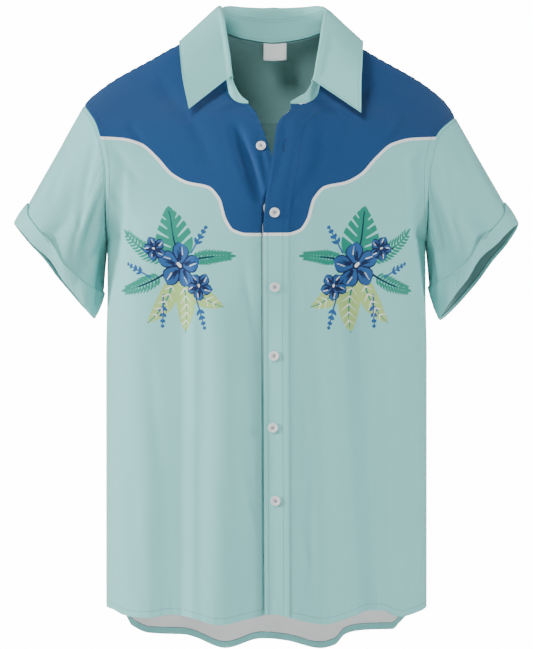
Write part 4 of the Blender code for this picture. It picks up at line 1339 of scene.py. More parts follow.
def flowerInto(fields, spots, centre, petal, turn, petals):
    def stroke(ink, start, end, halfWidths):
        # both ends as a length out from the centre and an angle
        ends = (turnedPoint(centre, *start), turnedPoint(centre, *end))
        fields[ink].append(strokeField(spots, ends, halfWidths))

    outline = np.full(len(spots), farOff)
    for angle, field in zip(petalTurns(turn), petals):
        # each petal lies over the one before it
        outline = np.where(field < 0, farOff, outline)
        outline = np.minimum(outline, abs(field + 0.2) - 0.85)
        for side, reach in ((-9, 0.66), (0, 0.80), (9, 0.66)):
            root = (petal * 0.26, angle + side * 0.8)
            stroke("navy", root, (petal * reach, angle + side + 4), (1.1, 0.55))
        stroke("accent", (petal * 0.50, angle + 17), (petal * 0.84, angle + 9), (0.75, 0.55))
    fields["petalBlue"].append(np.minimum.reduce(petals, initial=farOff))
    fields["navy"].append(outline)
    stroke("navy", (0, 0), (0.1, 0), (petal * 0.15,) * 2)
    stroke("accent", (0, 0), (petal * 0.12, turn + 30), (petal * 0.07,) * 2)


def bananaLeafInto(fields, spots, base, tip, halfWidth, bend):
    fields["lime"].append(leafField(spots, base, tip, halfWidth, bend, 0.5))
    base, tip = np.array(base, float), np.array(tip, float)
    across = np.array([-(tip - base)[1], (tip - base)[0]])
    middle = base + (tip - base) * 0.5 + across * bend * 2
    spine = bezier(base, middle, tip, 16)
    fields["leafOver"].append(strokeField(spots, spine, (1.5, 0.7)))
    for k in range(2, 14, 2):
        turn = degreesOf(spine[k + 1] - spine[k])
        reach = halfWidth * 0.9 * np.sin(pi * k / 15) ** 0.5
        for side in (-1, 1):
            vein = (spine[k], turnedPoint(spine[k], reach, turn + side * 48))
            fields["accent"].append(strokeField(spots, vein, (0.9, 0.5)))


def chestFields(spots):
    fields = {name: [] for name in (*chestPrint["inks"], "leafOver")}
    for frond in chestPrint["fronds"]:
        frondInto(fields, spots, *frond)
    splitLeafInto(fields, spots, **chestPrint["splitLeaf"])
    for leaf in chestPrint["bananaLeaves"]:
        bananaLeafInto(fields, spots, *leaf)
    for centre, petal, turn in chestPrint["flowers"]:
        petals = petalFields(spots, centre, petal, turn)
        solid = np.minimum.reduce(petals, initial=farOff)
        for name in fields:  # what lies behind a flower stops at its petals
            fields[name] = [np.maximum(field, -solid) for field in fields[name]]
        flowerInto(fields, spots, centre, petal, turn, petals)
    for foot, tip in chestPrint["sprigs"]:
        foot, tip = np.array(foot, float), np.array(tip, float)
        turn = degreesOf(tip - foot)
        fields["petalBlue"].append(strokeField(spots, (foot, tip), (1.1, 0.8)))
        for share in (0.35, 0.55, 0.75, 0.92):
            spot = foot + (tip - foot) * share
            for side in (-1, 1):
                end = turnedPoint(spot, 10 * (1.25 - share), turn + side * 42)
                fields["petalBlue"].append(leafField(spots, spot, end, 1.9))
    over = fields.pop("leafOver")
    cut = np.minimum.reduce(over)
    fields["lime"] = [np.maximum(field, -cut) for field in fields["lime"]]
    fields["leafGreen"] = fields["leafGreen"] + over
    return {name: np.minimum.reduce(parts) for name, parts in fields.items()}


def printOn(piece, grid):
    # the chest print, by how far out from the centre front and how high each point of the cloth is
    across, _ = gridSpans(grid)
    middle = np.array([
        np.interp(0, np.sort(row), arc[np.argsort(row)]) for row, arc in zip(grid[..., 0], across)
    ])
    start = np.where(np.sign(grid[:, -1, 0]) * grid[:, 0, 0] > 0, -abs(grid[:, 0, 0]), middle)
    out = (across - start[:, None]) * 1000
    up = grid[..., 2] * 1000
    (nearest, farthest), (lowest, highest) = chestPrint["zone"]
    inZone = (out > nearest) & (out < farthest) & (up > lowest) & (up < highest)
    spots = np.stack([out[inZone], up[inZone]], axis=1)
    fields = chestFields(spots)
    for name in chestPrint["inks"]:
        values = np.full(grid.shape[:2], farOff)
        values[inZone] = fields[name]
        setValues(piece, name, values, farOff)


finishes = {
    "frontPrint": clothFinish("printed_front_cloth", printedColour),
    "bodyPrint": clothFinish("yoke_and_teal_cloth", yokeColour),
    "teal": clothFinish("teal_cloth", colours["teal"]),
    "tealInside": clothFinish("teal_cloth_inside", colours["tealInside"]),
    # painted shade along the cloth's edges
    "paintedEdgeShade": clothFinish("painted_edge_shade", colours["paintedEdgeShade"], 0.0),
    "holeThread": clothFinish("buttonhole_thread", colours["holeThread"], 0.0),
    "hemThread": clothFinish("hem_thread", colours["hemThread"], 0.0),
    "reverse": clothFinish("white_reverse", colours["reverse"]),
    # painted shade: the back's reverse turns a darker teal high up, inside the neck
    "backReversePaintedShade": clothFinish("back_reverse_painted_shade", reverseWithPaintedShade),
    "thread": clothFinish("sewing_thread", threadColour, 0.0),
    "tealThread": clothFinish("teal_thread", colours["tealThread"], 0.0),
    "buttonThread": clothFinish("button_thread", colours["buttonThread"], 0.0),
    "label": clothFinish("label_tape", colours["white"], 0.5),
}
print("finishes made")

# Fronts

frontLook = {
    "creases": (  # across and up at both ends, width, depth
        (-0.199, -0.148, -0.158, -0.200, 0.0085, 0.0022),
        (-0.202, -0.196, -0.166, -0.262, 0.0090, 0.0020),
        (-0.204, -0.240, -0.178, -0.340, 0.0090, 0.0022),
        (-0.196, -0.262, -0.146, -0.318, 0.0080, 0.0014),
        (-0.178, -0.118, -0.150, -0.158, 0.0075, 0.0016),
        (-0.140, -0.060, -0.100, -0.120, 0.0120, 0.0016),
        (-0.108, -0.090, -0.066, -0.180, 0.0110, 0.0018),
        (-0.150, -0.400, -0.136, -0.560, 0.0120, 0.0018),
        (-0.092, -0.380, -0.086, -0.520, 0.0100, -0.0014),
        (-0.172, -0.560, -0.160, -0.735, 0.0110, 0.0017),
        (-0.052, -0.560, -0.040, -0.735, 0.0110, 0.0020),
        (-0.030, -0.290, -0.018, -0.400, 0.0075, 0.0016),
        (-0.026, -0.430, -0.016, -0.520, 0.0070, 0.0014),
        (-0.030, -0.560, -0.012, -0.640, 0.0080, 0.0016),
        (0.200, -0.150, 0.162, -0.196, 0.0085, 0.0021),
        (0.203, -0.200, 0.170, -0.270, 0.0090, 0.0021),
        (0.204, -0.250, 0.180, -0.350, 0.0090, 0.0020),
        (0.194, -0.282, 0.150, -0.330, 0.0080, 0.0013),
        (0.176, -0.112, 0.146, -0.150, 0.0080, 0.0017),
        (0.136, -0.062, 0.098, -0.116, 0.0110, 0.0015),
        (0.106, -0.110, 0.072, -0.190, 0.0110, 0.0017),
        (0.142, -0.420, 0.150, -0.600, 0.0120, 0.0017),
        (0.092, -0.360, 0.086, -0.480, 0.0100, -0.0014),
        (0.170, -0.590, 0.164, -0.735, 0.0100, 0.0016),
        (0.056, -0.520, 0.048, -0.735, 0.0120, 0.0020),
        (0.040, -0.300, 0.052, -0.380, 0.0070, 0.0013),
        (0.038, -0.440, 0.050, -0.540, 0.0070, 0.0015),
        (0.036, -0.600, 0.054, -0.690, 0.0080, 0.0015),
        (-0.012, -0.128, 0.004, -0.215, 0.0060, 0.0014),
        (0.024, -0.122, 0.012, -0.200, 0.0060, 0.0012),
        (-0.040, -0.120, -0.005, -0.225, 0.0080, 0.0035),
        (0.070, -0.150, 0.020, -0.235, 0.0100, 0.0025),
        # the long soft folds down the front
        (-0.085, -0.340, -0.090, -0.770, 0.0200, 0.0055),
        (-0.050, -0.380, -0.045, -0.760, 0.0180, -0.0035),
        (-0.150, -0.480, -0.155, -0.770, 0.0200, -0.0025),
        (0.105, -0.320, 0.150, -0.770, 0.0200, 0.0055),
        (0.065, -0.380, 0.080, -0.760, 0.0180, -0.0030),
        (0.185, -0.400, 0.190, -0.740, 0.0120, 0.0025),
    ),
    "wall": 0.0007,
    "turnedRows": 3,  # rows at the hem where the reverse shows the turned-up print
    "sunk": 0.0045,  # how far the lower front sinks beside the band's edge
}


def creased(grid, normals, table, *fromEdges):
    # creases fade out towards the given edges
    quiet = 1.0
    for distance in fromEdges:
        quiet = quiet * smooth(0, seamLook["creaseClear"], distance)
    depth = creaseDepth(table, grid[..., 0], grid[..., 2]) * quiet
    return grid - normals * depth[..., None]


def turnedHem(grid):
    turned = np.zeros(grid.shape[:2], bool)
    turned[:frontLook["turnedRows"]] = True
    return turned


frontGrids = {}
for side in ("right", "left"):
    grid, normals = frontPanel(side)
    across, up = gridSpans(grid)
    fromSide = across[:, -1:] - across
    fromTop = up[-1:] - up
    grid = creased(grid, normals, frontLook["creases"], fromSide, fromTop, across)
    gathers = panelGathers(across, up, fromSide, fromTop, (0.4, 1.3, 2.2))
    if side == "right":  # and beside its free edge
        gathers = gathers + pucker(abs(across - 0.005), up, 0.9)
    pressed = sewnIn(gathers, fromSide, fromTop)
    if side == "right":
        besideBand = grid[..., 0] - read(frontEdge["left"], "x", grid[..., 2])
        beneath = smooth(-0.0030, -0.0006, besideBand) * smooth(-0.205, -0.225, grid[..., 2])
        pressed = pressed + frontLook["sunk"] * beneath
    grid = grid - normals * pressed[..., None]
    frontGrids[side] = grid, normals
    # the fronts' edges carry painted shade
    panel = clothShell(
        f"front_{side}_cloth", grid, normals, 0, frontLook["wall"],
        [finishes[name] for name in ("frontPrint", "reverse", "paintedEdgeShade", "paintedEdgeShade")], 3,
        turnedEdge=turnedHem(grid),
    )
    setValues(panel, "yokeLine", yokeDistance(grid, yokeLook["frontLine"]), -1)
    printOn(panel, grid)
    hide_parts(f"front_{side}")
print("fronts made")

# Front band

bandLook = {
    "stitches": (0.0055, 0.0245),  # from the free edge
    "gathers": 0.6,  # as a share of a seam's
    "roll": 0.0006,
    "rollWidth": 0.0011,
}
bandRows = len(frontShares) + chestRows
grid, bandNormals = (part[:bandRows, :placketColumns + 1] for part in frontGrids["left"])
across, up = gridSpans(grid)
first, second = bandLook["stitches"]
bandPress = pucker(abs(across - first), up, 0.2) + pucker(abs(across - second), up, 1.9)
bandGrid = grid - bandNormals * (bandLook["gathers"] * bandPress)[..., None]
fromEdge = np.minimum(across, across[:, -1:] - across)
roll = np.clip(1 - fromEdge / bandLook["rollWidth"], 0, 1) ** 2 * bandLook["roll"]
bandGrid = bandGrid - bandNormals * roll[..., None]
# the band's edges carry painted shade
band = clothShell(
    "front_band_cloth", bandGrid, bandNormals, seamGap + clothWall, -seamGap,
    [finishes[name] for name in ("bodyPrint", "reverse", "paintedEdgeShade", "paintedEdgeShade")], 2,
)
setValues(band, "yokeLine", yokeDistance(bandGrid, yokeLook["frontLine"]), -1)
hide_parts("front_placket")
bandTop = bandGrid + bandNormals * (seamGap + clothWall)
print("front band made")

# Back and yoke

backLook = {
    "creases": (
        (-0.196, -0.160, -0.150, -0.230, 0.0090, 0.0022),
        (-0.200, -0.220, -0.160, -0.300, 0.0095, 0.0021),
        (-0.202, -0.270, -0.176, -0.380, 0.0090, 0.0020),
        (-0.160, -0.130, -0.120, -0.200, 0.0120, 0.0017),
        (-0.070, -0.130, -0.060, -0.330, 0.0120, 0.0020),
        (-0.150, -0.420, -0.136, -0.600, 0.0120, 0.0019),
        (-0.080, -0.480, -0.064, -0.700, 0.0130, 0.0020),
        (-0.166, -0.620, -0.150, -0.790, 0.0110, 0.0018),
        (-0.040, -0.620, -0.034, -0.810, 0.0110, 0.0018),
        (0.198, -0.158, 0.154, -0.222, 0.0090, 0.0021),
        (0.201, -0.226, 0.164, -0.310, 0.0090, 0.0021),
        (0.202, -0.280, 0.178, -0.390, 0.0095, 0.0019),
        (0.156, -0.128, 0.114, -0.210, 0.0120, 0.0016),
        (0.076, -0.140, 0.082, -0.320, 0.0120, 0.0018),
        (0.004, -0.150, 0.010, -0.300, 0.0100, 0.0014),
        (0.150, -0.400, 0.140, -0.590, 0.0120, 0.0018),
        (0.078, -0.460, 0.070, -0.690, 0.0120, 0.0020),
        (0.160, -0.640, 0.150, -0.780, 0.0110, 0.0017),
        (0.060, -0.640, 0.052, -0.805, 0.0110, 0.0019),
    ),
    "yokeCreases": (
        (-0.190, -0.088, -0.130, -0.066, 0.0100, 0.0014),
        (-0.150, -0.100, -0.096, -0.058, 0.0110, 0.0013),
        (-0.100, -0.104, -0.070, -0.046, 0.0110, 0.0012),
        (0.186, -0.092, 0.128, -0.064, 0.0100, 0.0014),
        (0.146, -0.102, 0.094, -0.056, 0.0110, 0.0013),
        (0.098, -0.104, 0.072, -0.044, 0.0110, 0.0012),
    ),
    "wall": 0.0007,
}

plainBack, backNormals = backPanel()
across, up = gridSpans(plainBack)
fromSide = np.minimum(across, across[:, -1:] - across)
fromTop = up[-1:] - up
backGrid = creased(plainBack, backNormals, backLook["creases"], fromSide, fromTop)
gathers = panelGathers(across, up, fromSide, fromTop, (1.4, 0.3, 1.2))
backGrid = backGrid - backNormals * sewnIn(gathers, fromSide, fromTop)[..., None]
back = clothShell(
    "back_cloth", backGrid, backNormals, 0, backLook["wall"],
    [finishes["bodyPrint"], finishes["backReversePaintedShade"], finishes["tealInside"]], 3,
    turnedEdge=turnedHem(backGrid),
)
setValues(back, "yokeLine", yokeDistance(backGrid, yokeLook["backLine"]), -1)
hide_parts("back")

grid, yokeNormals = yokePanel(plainBack)
across, up = gridSpans(grid)
fromSide = np.minimum(across, across[:, -1:] - across)
fromSeam = np.minimum(up, up[-1:] - up)
grid = creased(grid, yokeNormals, backLook["yokeCreases"], fromSide, fromSeam)
inset = seamLook["besideSeam"]
gathers = pucker(abs(fromSide - inset), up, 0.7) + pucker(abs(fromSeam - inset), across, 1.9)
yokeGrid = grid - yokeNormals * sewnIn(gathers, fromSide, fromSeam)[..., None]
yoke = clothShell(
    "yoke_cloth", yokeGrid, yokeNormals, 0, backLook["wall"],
    [finishes["bodyPrint"], finishes["tealInside"], finishes["tealInside"]], 2,
)
setValues(yoke, "yokeLine", np.full(yokeGrid.shape[:2], 0.05), 0.05)
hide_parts("back_yoke")
print("back and yoke made")

# Sleeves and cuffs

sleeveLook = {
    "creases": (  # by degrees round the sleeve and share down it: angle and share at both ends
        (60, 0.05, 96, 0.62, 10, 0.0034),
        (104, 0.02, 122, 0.80, 8, 0.0050),
        (140, 0.05, 124, 1.00, 7, 0.0046),
        (84, 0.10, 108, 0.95, 7, 0.0026),
        (30, 0.10, 52, 0.80, 9, 0.0022),
        (84, 0.60, 66, 1.40, 8, 0.0024),
        (10, 0.35, 24, 1.05, 9, 0.0016),
        (160, 0.15, 172, 0.90, 9, 0.0034),
        (-50, 0.08, -84, 0.66, 9, 0.0032),
        (-100, 0.05, -116, 0.80, 8, 0.0044),
        (-140, 0.12, -122, 0.95, 8, 0.0040),
        (-24, 0.20, -44, 0.90, 9, 0.0018),
    ),
    "wall": 0.0007,
    "rows": 84,
    "girth": 0.42,  # for the gathers beside the underarm seam
}


def angularCreases(grid, normals, rows):
    turnDegrees = np.degrees(sleeveAngles())
    press = np.zeros(grid.shape[:2])
    for angle1, share1, angle2, share2, width, depth in sleeveLook["creases"]:
        t = np.clip((np.array(rows) - share1) / (share2 - share1), 0, 1)
        centre = angle1 + (angle2 - angle1) * t
        off = (turnDegrees[None] - centre[:, None] + 180) % 360 - 180
        press += depth * (4 * t * (1 - t))[:, None] ** 0.7 * np.exp(-1.4 * (off / width) ** 2)
    return grid - normals * press[..., None]


cuffLook = {
    # rows down the cuff from its upper line (1) to its rim (2)
    "levels": (1.0, 1.13, 1.26, 1.4, 1.55, 1.7, 1.82, 1 + clothEnd, 1.96, 1.985, 2.0),
    "belly": 0.0012,  # how much thicker the fold is half way down
    "ease": 0.0004,  # and how much thicker all over
    "rimTurn": 0.0018,  # how far the outer face turns in at the rim
    "rimInside": (1, 0.9, 0.7, 0.3),  # shares of the cloth's wall, from its end to the rim
    "finer": 3,  # rows drawn for each level
    "wall": 0.0014,
}
sleeveGrids = {}
cuffGrids = {}
for side in ("right", "left"):
    rows = np.linspace(0, 1 + clothEnd, sleeveLook["rows"])
    grid = sleeveGrid(side, list(rows))
    normals = sleeveNormals(grid)
    for place, angle in enumerate(sleeveAngles()):
        turnedAngle = (angle + pi) % (2 * pi) - pi
        normals[0, place] = armholeNormal(side, turnedAngle, normals[0, place])
    grid = angularCreases(grid, normals, rows)
    across, up = ringSpans(grid)
    underarm = np.degrees(abs(sleeveAngles() - pi))[None] / 360 * sleeveLook["girth"]
    gathers = pucker(abs(up - 0.004), across, 0.5)
    gathers = gathers + pucker(abs(underarm - seamLook["besideSeam"]), up, 1.7)
    grid = grid - normals * sewnIn(gathers, up)[..., None]
    grid[0, :, 0] -= sign[side] * seamLap
    # the sleeve's end walls carry painted shade
    sleeve = clothShell(
        f"sleeve_{side}_cloth", grid, normals, 0, sleeveLook["wall"],
        [finishes["teal"], finishes["tealInside"], finishes["paintedEdgeShade"]], 2, ring=True,
    )
    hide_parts(f"sleeve_{side}")
    sleeveGrids[side] = grid, normals

    # the cuff: the sleeve's end folded up on itself, with a rounded lower edge
    levels = cuffLook["levels"]
    turn = levels.index(1 + clothEnd)
    down = np.array(levels) - 1
    fold = sleeveGrid(side, list(levels))
    foldNormals = sleeveNormals(fold)
    ripple = pucker(np.zeros(fold.shape[:2]) + 0.004, ringSpans(fold)[0], 0.9)
    share = np.clip(down / clothEnd, 0, 1)
    belly = cuffLook["belly"] * np.sin(pi * share) + cuffLook["ease"]
    lift = seamGap + cuffLook["wall"] + belly - cuffLook["rimTurn"] * smooth(0.94, 1.0, down)
    outerFace = fold + foldNormals * lift[:, None, None]
    outerFace = outerFace - foldNormals * (ripple * smooth(0, 0.2, share)[:, None])[..., None]
    innerFace = fold[:turn + 1] + foldNormals[:turn + 1] * seamGap
    inside = np.array(cuffLook["rimInside"])[:, None, None]
    hemFace = fold[turn:] - foldNormals[turn:] * clothWall * inside
    section = np.concatenate([outerFace, hemFace[::-1], innerFace[::-1]])
    fine = curveRows(section, cuffLook["finer"] * len(section))
    count = fine.shape[1]
    lastRow = (len(fine) - 1) * count
    start = np.arange(count)
    beside = (start + 1) % count
    faces = np.concatenate([
        quads(len(fine), count, 0, True, False),
        np.stack([lastRow + start, lastRow + beside, beside, start], axis=1),
    ])
    if facesInward(fine, foldNormals[0, 1]):
        faces = faces[:, ::-1]
    cuff = addPiece(f"cuff_{side}_cloth", fine.reshape(-1, 3), faces, [finishes["teal"]])
    setSpans(cuff, *ringSpans(fine))
    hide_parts(f"cuff_{side}")
    cuffGrids[side] = fine[:len(levels) * cuffLook["finer"]]
print("sleeves and cuffs made")

# Collar

collarLook = {"stitchIn": 0.0055, "standStitchIn": 0.003, "wall": 0.0014, "rows": 60}

standCoarse, standOut, _, _ = standRows()
standGrid = curveRows(standCoarse, 18)
standNormals = np.repeat(standOut[None], len(standGrid), axis=0)
stand = clothShell(
    "collar_stand_cloth", standGrid, standNormals, 0, collarLook["wall"],
    [finishes["teal"], finishes["teal"], finishes["teal"]], 1,
)
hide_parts("collar_stand")

leafCoarse, _ = leafPanel()
leafGrid = curveRows(leafCoarse, collarLook["rows"])
leafNormals = gridNormals(leafGrid)
leafNormals *= np.sign((leafNormals[0] * standOut[leafStart:len(standOut) - leafStart]).sum())
across, up = gridSpans(leafGrid)
fromEdge = np.minimum(up[-1:] - up, np.minimum(across, across[:, -1:] - across))
plump = 0.0004 * np.exp(-((fromEdge - 0.0028) / 0.0016) ** 2) - 0.0005 * np.exp(-(fromEdge / 0.0009) ** 2)
ease = pucker(abs(fromEdge - collarLook["stitchIn"]), across + up, 0.3) * 0.45
leafGrid = leafGrid + leafNormals * (plump - ease)[..., None]
leaf = clothShell(
    "collar_leaf_cloth", leafGrid, leafNormals, collarLook["wall"] / 2, collarLook["wall"] / 2,
    [finishes["teal"], finishes["teal"], finishes["teal"]], 1,
)
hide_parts("collar_leaf")
print("collar made")

# Label

labelLook = {"stitchIn": 0.0018, "wall": 0.0005, "rows": 22}
coarse, _ = labelPanel()
labelGrid = curveRows(coarse, labelLook["rows"])
labelNormals = np.broadcast_to(np.array([0.0, -1.0, 0.0]), labelGrid.shape)
across, up = gridSpans(labelGrid)
labelGrid = labelGrid + labelNormals * (0.0003 * np.sin(across * 260 + up * 90))[..., None]
tape = clothShell(
    "label_tape", labelGrid, labelNormals, labelLook["wall"] / 2, labelLook["wall"] / 2,
    [finishes["label"]] * 3, 1,
)
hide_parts("label")
print("label made")

# Buttons

buttonLook = {
    "rings": 30,
    "around": 48,
    "dish": 0.0006,  # how deep the middle lies
    "rim": 0.0009,  # how far the top falls at its rounded edge
    "rimWidth": 0.20,  # share of the radius
    "pit": 0.0016,  # depth of a hole
    "holes": (45, 135, 225, 315),  # degrees round the middle
    "sideFoot": 0.0007,  # where the side starts to turn in
    "thread": 0.00035,
    "threadRise": 0.0003,  # above the dish
    "threadDip": 0.0012,  # down into the holes
    "threadPoints": 7,
}
buttonFinish = shellFinish()


def buttonHeight(radius, angle):
    # height of the top face above its edge
    share = radius / buttonRadius
    intoRim = ((share - (1 - buttonLook["rimWidth"])) / buttonLook["rimWidth"]).clip(0, 1)
    height = buttonThickness - buttonLook["rim"] * (1 - np.sqrt(np.clip(1 - intoRim**2, 0, 1)))
    height = height - buttonLook["dish"] * smooth(0.74, 0.52, share)
    x, y = radius * np.cos(angle), radius * np.sin(angle)
    for turn in buttonLook["holes"]:
        hole = turnedPoint((0, 0), buttonHoleSpread, turn)
        away = np.hypot(x - hole[0], y - hole[1])
        height = height - buttonLook["pit"] * smooth(buttonHoleRadius * 1.15, buttonHoleRadius * 0.75, away)
    return height


def buttonMesh():
    radii = np.linspace(0.0001, buttonRadius, buttonLook["rings"])
    angles = np.arange(buttonLook["around"]) * 2 * pi / buttonLook["around"]
    radius, angle = np.meshgrid(radii, angles, indexing="ij")
    top = np.stack([radius * np.cos(angle), radius * np.sin(angle), buttonHeight(radius, angle)], axis=-1)
    low = top[-1:].copy()
    low[..., 2] = buttonLook["sideFoot"]
    foot = low * np.array([0.9, 0.9, 0])
    rows = np.concatenate([top, low, foot])
    return rows.reshape(-1, 3), [f[::-1] for f in closedTube(*rows.shape[:2])]


def threadCross(turn):
    angle = radians(turn)
    t = np.linspace(-1, 1, buttonLook["threadPoints"])
    out = t * buttonHoleSpread
    arch = buttonThickness - buttonLook["dish"] + buttonLook["threadRise"] - buttonLook["threadDip"] * t**4
    line = np.stack([out * np.cos(angle), out * np.sin(angle), arch], axis=1)
    return line, np.array([[0, 0, 1.0]] * len(t))


buttonPoints, buttonFaces = buttonMesh()
tiePoints, tieFaces = stitchMeshes(
    [threadCross(45), threadCross(135)], radius=buttonLook["thread"], length=0.00075, step=0.00053,
)
for number, (edge, z) in enumerate(buttonPlaces[1], 1):
    grid, normals = frontGrids["right" if number == 1 else "left"]
    standOff = 2 * seamGap + (0 if number == 1 else seamGap + clothWall)
    spot, normal = spotOn(grid, normals, edge, z)
    facing = np.array(Vector(normal).to_track_quat("Z", "Y").to_matrix())
    spin = radians(7 * number - 20)  # each one sits at a slightly different turn
    cosine, sine = np.cos(spin), np.sin(spin)
    stance = (facing @ np.array([[cosine, -sine, 0], [sine, cosine, 0], [0, 0, 1]])).T
    at = spot + normal * standOff
    button = addPiece(
        f"button_{number}_shell", buttonPoints @ stance + at, buttonFaces, [buttonFinish], smoothAngle=55,
    )
    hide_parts(f"button_{number}")
    addPiece(f"button_{number}_tie", tiePoints @ stance + at, tieFaces, [finishes["buttonThread"]])
print("buttons made")

# Sewing

sewingLook = {  # how far rows of stitches lie from their edges
    "armhole": 0.006,
    "shoulder": 0.004,
    "freeEdge": 0.0055,
    "yoke": 0.005,
    "sleeve": 0.0045,
    "insideHem": 0.0092,
    "shoulderColumn": 40,  # where the shoulder's row starts
}
stitchLift = seamLook["stitchLift"]
lines = [edgeLine(bandTop, bandNormals, "left", inset, stitchLift) for inset in bandLook["stitches"]]
bandStitches = addStitches("band_stitches", lines, finishes["thread"])


def paintStitches(piece, line):
    grid = np.array([v.co for v in piece.data.vertices]).reshape(-1, 1, 3)
    setValues(piece, "yokeLine", yokeDistance(grid, yokeLook[line]), 0)


paintStitches(bandStitches, "frontLine")
for side in ("right", "left"):
    grid, normals = frontGrids[side]
    first = placketColumns if side == "left" else 0  # the band covers the left front's edge
    arm = -chestRows - neckRows
    along = sewingLook["shoulderColumn"]
    lines = [
        edgeLine(grid[:, first:], normals[:, first:], "bottom", seamLook["hemStitch"], stitchLift),
        edgeLine(grid[arm:], normals[arm:], "right", sewingLook["armhole"], stitchLift),
        edgeLine(grid[:, along:], normals[:, along:], "top", sewingLook["shoulder"], stitchLift),
    ]
    if side == "right":
        lines.append(edgeLine(grid, normals, "left", sewingLook["freeEdge"], stitchLift))
    paintStitches(addStitches(f"front_{side}_stitches", lines, finishes["thread"]), "frontLine")
lines = [
    edgeLine(backGrid, backNormals, "bottom", seamLook["hemStitch"], stitchLift),
    edgeLine(yokeGrid, yokeNormals, "bottom", sewingLook["yoke"], stitchLift),
]
paintStitches(addStitches("back_stitches", lines, finishes["thread"]), "backLine")
reverse = backGrid - backNormals * backLook["wall"]
inside = edgeLine(reverse, -backNormals, "bottom", sewingLook["insideHem"], 2 * stitchLift)
addStitches("back_hem_stitches", [inside], finishes["hemThread"], radius=0.0004, length=0.0026)

lines = [
    edgeLine(leafGrid, leafNormals, side, collarLook["stitchIn"], collarLook["wall"] / 2)
    for side in ("top", "left", "right")
]
lines += [
    edgeLine(standGrid, -standNormals, side, collarLook["standStitchIn"], collarLook["wall"])
    for side in ("bottom", "top")
]
addStitches("collar_stitches", lines, finishes["tealThread"])
border = [
    edgeLine(labelGrid, labelNormals, side, labelLook["stitchIn"], labelLook["wall"] / 2)
    for side in ("left", "right", "top")
]
addStitches("label_stitches", border, finishes["tealThread"], radius=0.0002)
for side in ("right", "left"):
    ring, ringNormals = (closedRing(part) for part in sleeveGrids[side])
    lines = [edgeLine(ring, ringNormals, "bottom", sewingLook["sleeve"], stitchLift)]
    addStitches(f"sleeve_{side}_stitches", lines, finishes["tealThread"])

# the open buttonhole on the left front
holeLook = {"edge": 0.0145, "z": -0.1525, "length": 0.017, "width": 0.0016, "points": 25}


def buttonhole(edge, z, grid, normals, lift):
    # a long narrow loop with square ends
    top, _ = spotOn(grid, normals, edge, z + holeLook["length"] / 2)
    _, normal = spotOn(grid, normals, edge, z)
    low, _ = spotOn(grid, normals, edge, z - holeLook["length"] / 2)
    across = unit(np.cross(unit(top - low), normal))
    turn = np.linspace(0, 1, holeLook["points"]) * 2 * pi
    middle = low + (top - low) * (0.5 + 0.5 * np.sin(turn))[:, None]
    wide = holeLook["width"] * np.sign(np.cos(turn)) * np.clip(abs(np.cos(turn)) * 3, 0, 1)
    return middle + across * wide[:, None] + normal * lift, np.array([normal] * len(turn))


line = buttonhole(holeLook["edge"], holeLook["z"], *frontGrids["left"], seamGap + clothWall)
addStitches("buttonhole_stitches", [line], finishes["holeThread"], step=0.0013, length=0.0009, radius=0.00042)
print("sewing made")

# Cloth sizes: the flat size and the area that shows of each piece are worked out, and not kept

leastFill = 0.31  # the least area taken, as a share of the flat size


def cutOf(grid):
    # the widest row and the longest column
    across, up = gridSpans(grid)
    return float(across[:, -1].max()), float(up[-1].max())


def surfaceArea(grid):
    one = np.cross(grid[1:, 1:] - grid[:-1, :-1], grid[1:, :-1] - grid[:-1, 1:])
    return float(np.linalg.norm(one, axis=-1).sum() / 2)


def declare(grid, ring=False):
    cloth = closedRing(grid) if ring else grid
    size = cutOf(cloth)
    area = min(max(surfaceArea(cloth), leastFill * size[0] * size[1]), size[0] * size[1])


declare(frontGrids["right"][0])
declare(frontGrids["left"][0])
declare(bandTop)
declare(backGrid)
declare(yokeGrid)
for side in ("right", "left"):
    declare(sleeveGrids[side][0], True)
    declare(cuffGrids[side], True)
declare(standGrid)
declare(leafGrid)
declare(labelGrid)

# Studio

studio = {
    "floor": -1.38,
    "reach": 4.6,
    "wall": 12.0,
    "wallHalf": 1.75,
    "wallTop": 1.7,
    "wallFoot": -2.5,
    "colour": ink(244, 245, 245),
    "world": (0.93, 0.96, 1.0, 1.0),
    "worldStrength": 0.05,
    "wallGlow": 15.0,
    "lights": (  # name, place, aim, width, energy, colour
        ("key", (-2.4, -2.8, 2.2), (0, 0, -0.25), 0.7, 16, (1.0, 0.99, 0.97)),
        ("collar", (-0.5, -1.2, 0.9), (0, 0, -0.05), 0.5, 18, (1.0, 1.0, 0.99)),
        ("left", (-4.0, -0.7, 0.3), (0, 0, -0.4), 0.7, 185, (1.0, 1.0, 0.99)),
        ("right", (3.9, -1.1, 0.2), (0, 0, -0.4), 0.8, 115, (0.98, 0.99, 1.0)),
        ("low", (0.2, -2.2, -1.2), (0, 0.1, -0.78), 0.6, 12, (1.0, 1.0, 1.0)),
    ),
}


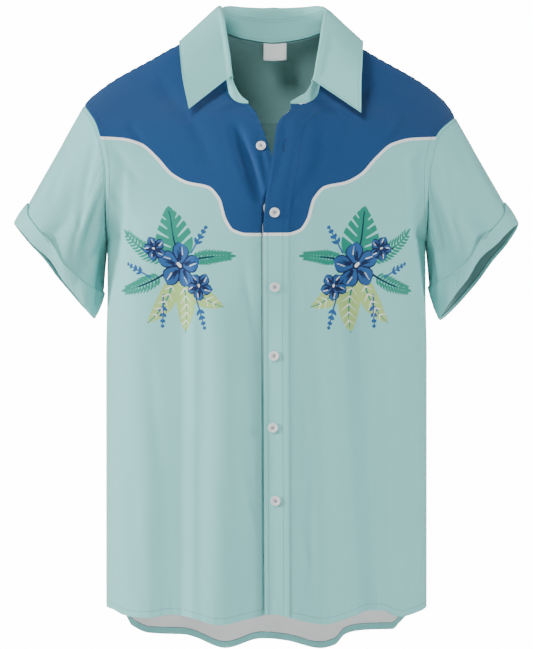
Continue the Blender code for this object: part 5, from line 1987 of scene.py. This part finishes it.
def studioSheet(name, corners, glow):
    mesh = bpy.data.meshes.new(name)
    mesh.from_pydata(corners, [], [(0, 1, 2, 3)])
    sheet = bpy.data.objects.new(name, mesh)
    bpy.context.scene.collection.objects.link(sheet)
    paper = bpy.data.materials.new(name)
    paper.use_nodes = True
    shader = paper.node_tree.nodes["Principled BSDF"]
    start = Wire(paper.node_tree)
    place = start.node("ShaderNodeTexCoord", out="Object")
    clouds = start.node("ShaderNodeTexNoise", None, {"Vector": place, "Scale": 3.0, "Detail": 2.0})
    tone = start.node("ShaderNodeHueSaturation", None, {
        "Value": 0.985 + 0.03 * clouds, "Color": studio["colour"]})
    paper.node_tree.links.new(tone.socket, shader.inputs["Base Color"])
    shader.inputs["Roughness"].default_value = 0.9
    shader.inputs["Emission Color"].default_value = (1, 1, 1, 1)
    shader.inputs["Emission Strength"].default_value = glow
    mesh.materials.append(paper)


reach, half = studio["reach"], studio["wallHalf"]
foot, top = studio["wallFoot"], studio["wallTop"]
corners = [(x * reach, y * reach, studio["floor"]) for x, y in ((-1, -1), (1, -1), (1, 1), (-1, 1))]
studioSheet("studio_floor", corners, 0.0)
corners = [(x, studio["wall"], z) for x, z in ((-half, foot), (half, foot), (half, top), (-half, top))]
studioSheet("studio_wall", corners, studio["wallGlow"])

world = bpy.data.worlds.new("studio_world")
bpy.context.scene.world = world
world.use_nodes = True
world.node_tree.nodes["Background"].inputs["Color"].default_value = studio["world"]
world.node_tree.nodes["Background"].inputs["Strength"].default_value = studio["worldStrength"]

for name, spot, aim, width, energy, tint in studio["lights"]:
    lamp = bpy.data.lights.new("light_" + name, "AREA")
    lamp.shape, lamp.size, lamp.energy, lamp.color = "DISK", width, energy, tint
    holder = bpy.data.objects.new("light_" + name, lamp)
    holder.location = spot
    holder.rotation_mode = "QUATERNION"
    holder.rotation_quaternion = (Vector(aim) - Vector(spot)).to_track_quat("-Z", "Y")
    bpy.context.scene.collection.objects.link(holder)

view = {"distance": 3.6, "height": -0.3777, "tall": 0.8437, "sensor": 36}
lens = bpy.data.cameras.new("camera")
lens.sensor_width = view["sensor"]
lens.lens = view["sensor"] * view["distance"] / view["tall"]
camera = bpy.data.objects.new("camera", lens)
camera.location = (0, -view["distance"], view["height"])
camera.rotation_euler = (pi / 2, 0, 0)
bpy.context.scene.collection.objects.link(camera)
bpy.context.scene.camera = camera
print("studio set")
